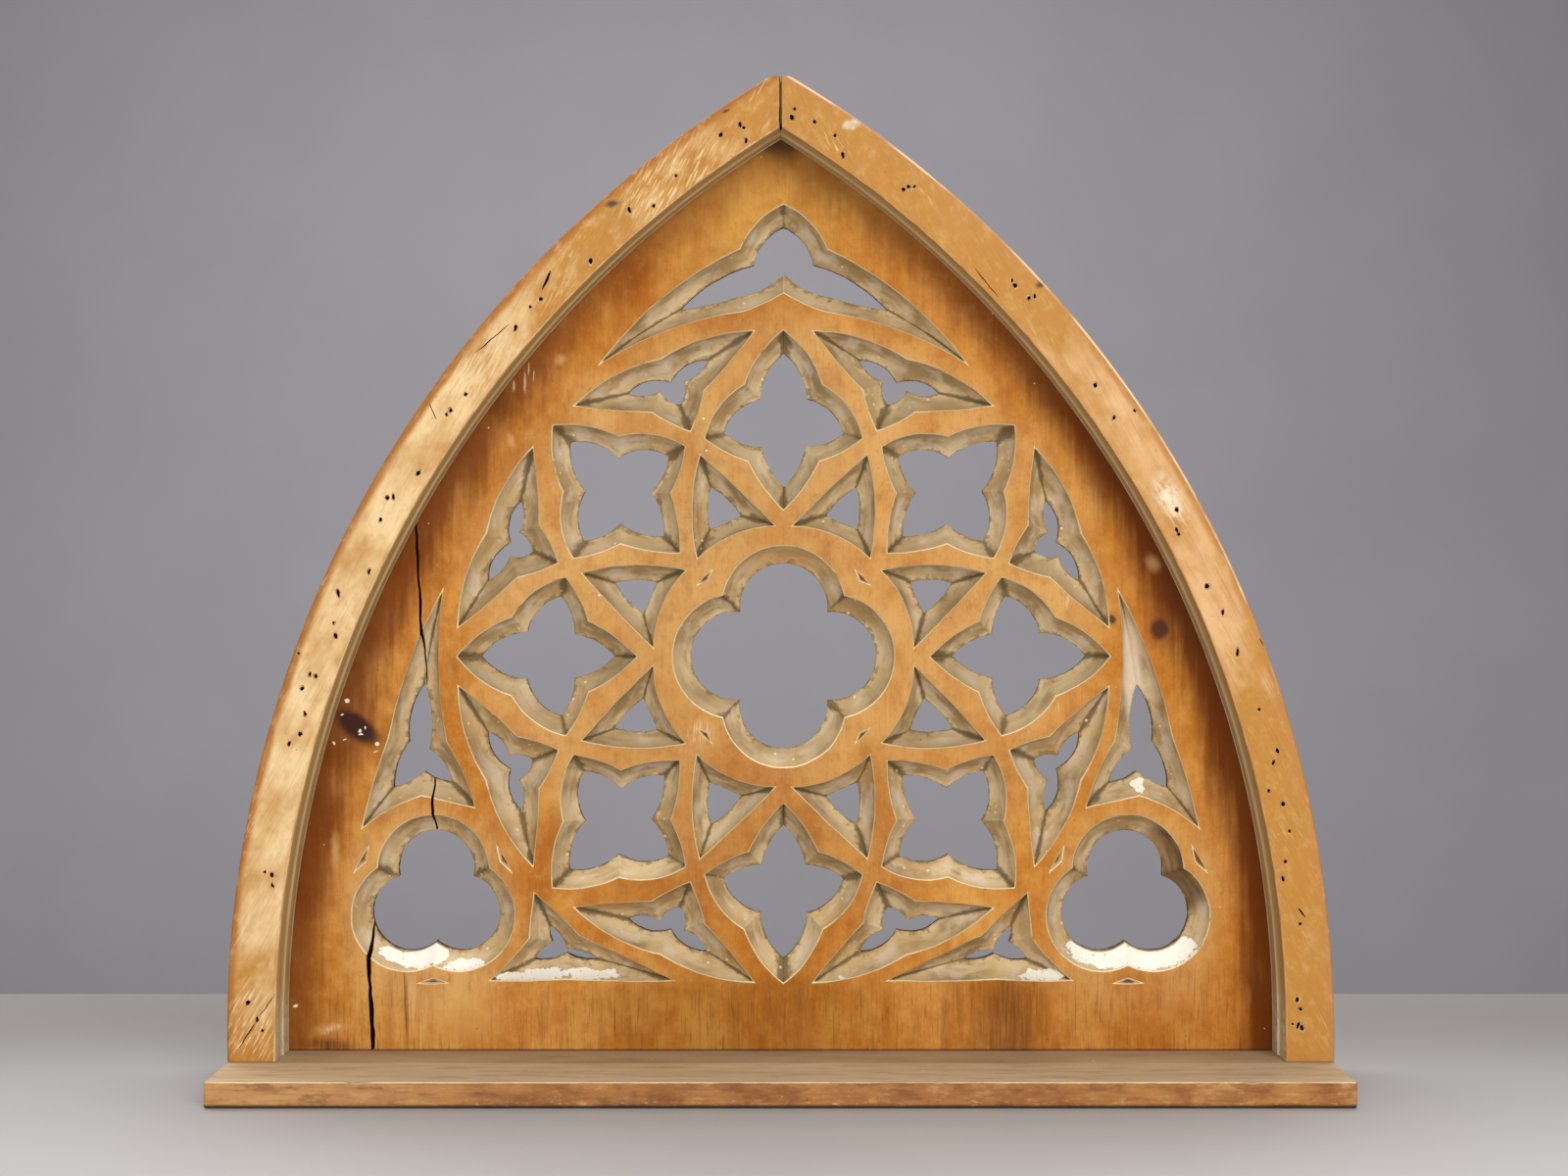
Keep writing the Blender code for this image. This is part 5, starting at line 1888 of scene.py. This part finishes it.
def plain_finish(name, roughness, first, second, upright=False):
    """A plain studio surface whose tone turns from near to far, or from low to high: a painted fall-off of
    the light.
    """
    finish = Finish(name)
    mottle = finish.noise(0.35, detail=3.0, seed=101.0)
    along = finish.z.spread(-0.6, 1.3) if upright else finish.y.spread(-0.35, 0.3)
    finish.base = finish.mix(along, first, second)
    finish.tint("studio_tint", mottle.spread(0.3, 0.7))
    return finish.done(roughness, specular=0.2)


def add_slab(name, low, high, edge, finish):
    """A stage surface with softened edges."""
    work = bmesh.new()
    bmesh.ops.create_cube(work, size=1.0)
    size = Vector(high) - Vector(low)
    bmesh.ops.scale(work, vec=size, verts=work.verts)
    bmesh.ops.translate(work, vec=(Vector(high) + Vector(low)) / 2, verts=work.verts)
    bmesh.ops.bevel(work, geom=list(work.edges), offset=edge, segments=3, profile=0.5, affect="EDGES")
    mesh = bpy.data.meshes.new(name)
    work.to_mesh(mesh)
    work.free()
    mesh.materials.append(finish)
    slab = bpy.data.objects.new(name, mesh)
    bpy.context.scene.collection.objects.link(slab)


def add_area_light(name, place, target, size, power, tint):
    """A soft rectangular light that faces a target."""
    light = bpy.data.lights.new(name, "AREA")
    light.shape = "RECTANGLE"
    light.size, light.size_y = size
    light.energy = power
    light.color = tint
    lamp = bpy.data.objects.new(name, light)
    lamp.location = place
    lamp.rotation_euler = (Vector(target) - Vector(place)).to_track_quat("-Z", "Y").to_euler()
    bpy.context.scene.collection.objects.link(lamp)


class TRACERY_OT_studio(bpy.types.Operator):
    """Set up the table, the backdrop, soft lights and the camera"""

    bl_idname = "tracery.studio"
    bl_label = "Set Up Studio"

    TABLE_BOX = ((-1.7, -1.3, -0.045), (1.7, 0.416, 0.0))
    WALL_BOX = ((-4.5, 3.60, -1.6), (4.5, 3.64, 3.6))
    WALL_LOW_LIGHT = 1.20
    AIM = (0.0, 0.02, 0.48)
    WASH_AIM = (-0.40, 3.6, -2.0)
    WASH_POWER = 80.0
    CAMERA_ACROSS = 0.0034
    CAMERA_RISE = -0.005
    KEY_TINT = (1.0, 0.97, 0.92)
    FILL_TINT = (1.0, 0.99, 0.97)
    WASH_TINT = (1.0, 1.0, 1.0)
    SKY_TINT = (0.96, 0.98, 1.0, 1.0)

    def execute(self, context):
        settings = context.scene.tracery_studio
        scene = context.scene
        # The backdrop is painted lighter low down
        lit_low_wall = [part * self.WALL_LOW_LIGHT for part in settings.wall_grey]
        table = plain_finish("table_top", 0.55, settings.table_grey, settings.table_far_shade)
        wall = plain_finish("backdrop", 0.90, lit_low_wall, settings.wall_grey, upright=True)
        add_slab("table", *self.TABLE_BOX, 0.004, table)
        add_slab("backdrop", *self.WALL_BOX, 0.006, wall)
        lights = [
            ("key", (1.05, -2.65, 1.95), self.AIM, (2.2, 1.7), settings.key_power, self.KEY_TINT),
            ("fill", (-0.55, -2.95, 0.55), self.AIM, (2.0, 1.4), settings.fill_power, self.FILL_TINT),
            ("wall_wash", (-0.35, 0.8, 2.15), self.WASH_AIM, (3.4, 1.5), self.WASH_POWER, self.WASH_TINT),
        ]
        for light in lights:
            add_area_light(*light)
        world = bpy.data.worlds.new("soft_sky")
        world.use_nodes = True
        sky = world.node_tree.nodes["Background"]
        sky.inputs["Color"].default_value = self.SKY_TINT
        sky.inputs["Strength"].default_value = settings.sky_power
        scene.world = world
        scene.view_settings.view_transform = "Standard"
        camera = bpy.data.cameras.new("camera")
        camera.lens = settings.lens
        camera.sensor_width = 36.0
        camera.shift_y = self.CAMERA_RISE
        camera.clip_end = 20.0
        stand = bpy.data.objects.new("camera", camera)
        stand.location = (self.CAMERA_ACROSS, -settings.distance, settings.height)
        stand.rotation_euler = (math.pi / 2, 0.0, 0.0)
        scene.collection.objects.link(stand)
        scene.camera = stand
        return {"FINISHED"}


class TRACERY_PT_sidebar(bpy.types.Panel):
    """Lists the steps and their settings"""

    bl_idname = "TRACERY_PT_sidebar"
    bl_label = "Carved Tracery Panel"
    bl_space_type = "VIEW_3D"
    bl_region_type = "UI"
    bl_category = "Tracery"

    def draw(self, context):
        """List each step above its settings."""
        for name, (group, step) in GROUPS.items():
            box = self.layout.box()
            box.operator(step.bl_idname)
            settings = getattr(context.scene, name)
            for field in group.__annotations__:
                box.prop(settings, field)


# Each step's settings in the scene, and the step itself
GROUPS = {
    "tracery_sill": (TRACERY_PG_sill, TRACERY_OT_sill),
    "tracery_ribs": (TRACERY_PG_ribs, TRACERY_OT_ribs),
    "tracery_panel": (TRACERY_PG_panel, TRACERY_OT_panel),
    "tracery_studio": (TRACERY_PG_studio, TRACERY_OT_studio),
}


def register():
    """Register the settings, the steps and the sidebar."""
    for name, (group, step) in GROUPS.items():
        bpy.utils.register_class(group)
        setattr(bpy.types.Scene, name, bpy.props.PointerProperty(type=group))
        bpy.utils.register_class(step)
    bpy.utils.register_class(TRACERY_PT_sidebar)


def unregister():
    """Take away what register added."""
    bpy.utils.unregister_class(TRACERY_PT_sidebar)
    for name, (group, step) in reversed(list(GROUPS.items())):
        bpy.utils.unregister_class(step)
        delattr(bpy.types.Scene, name)
        bpy.utils.unregister_class(group)


def main():
    """Register the steps and run each in order."""
    register()
    bpy.ops.tracery.sill()
    bpy.ops.tracery.ribs()
    bpy.ops.tracery.panel()
    bpy.ops.tracery.studio()


if __name__ == "__main__":
    main()
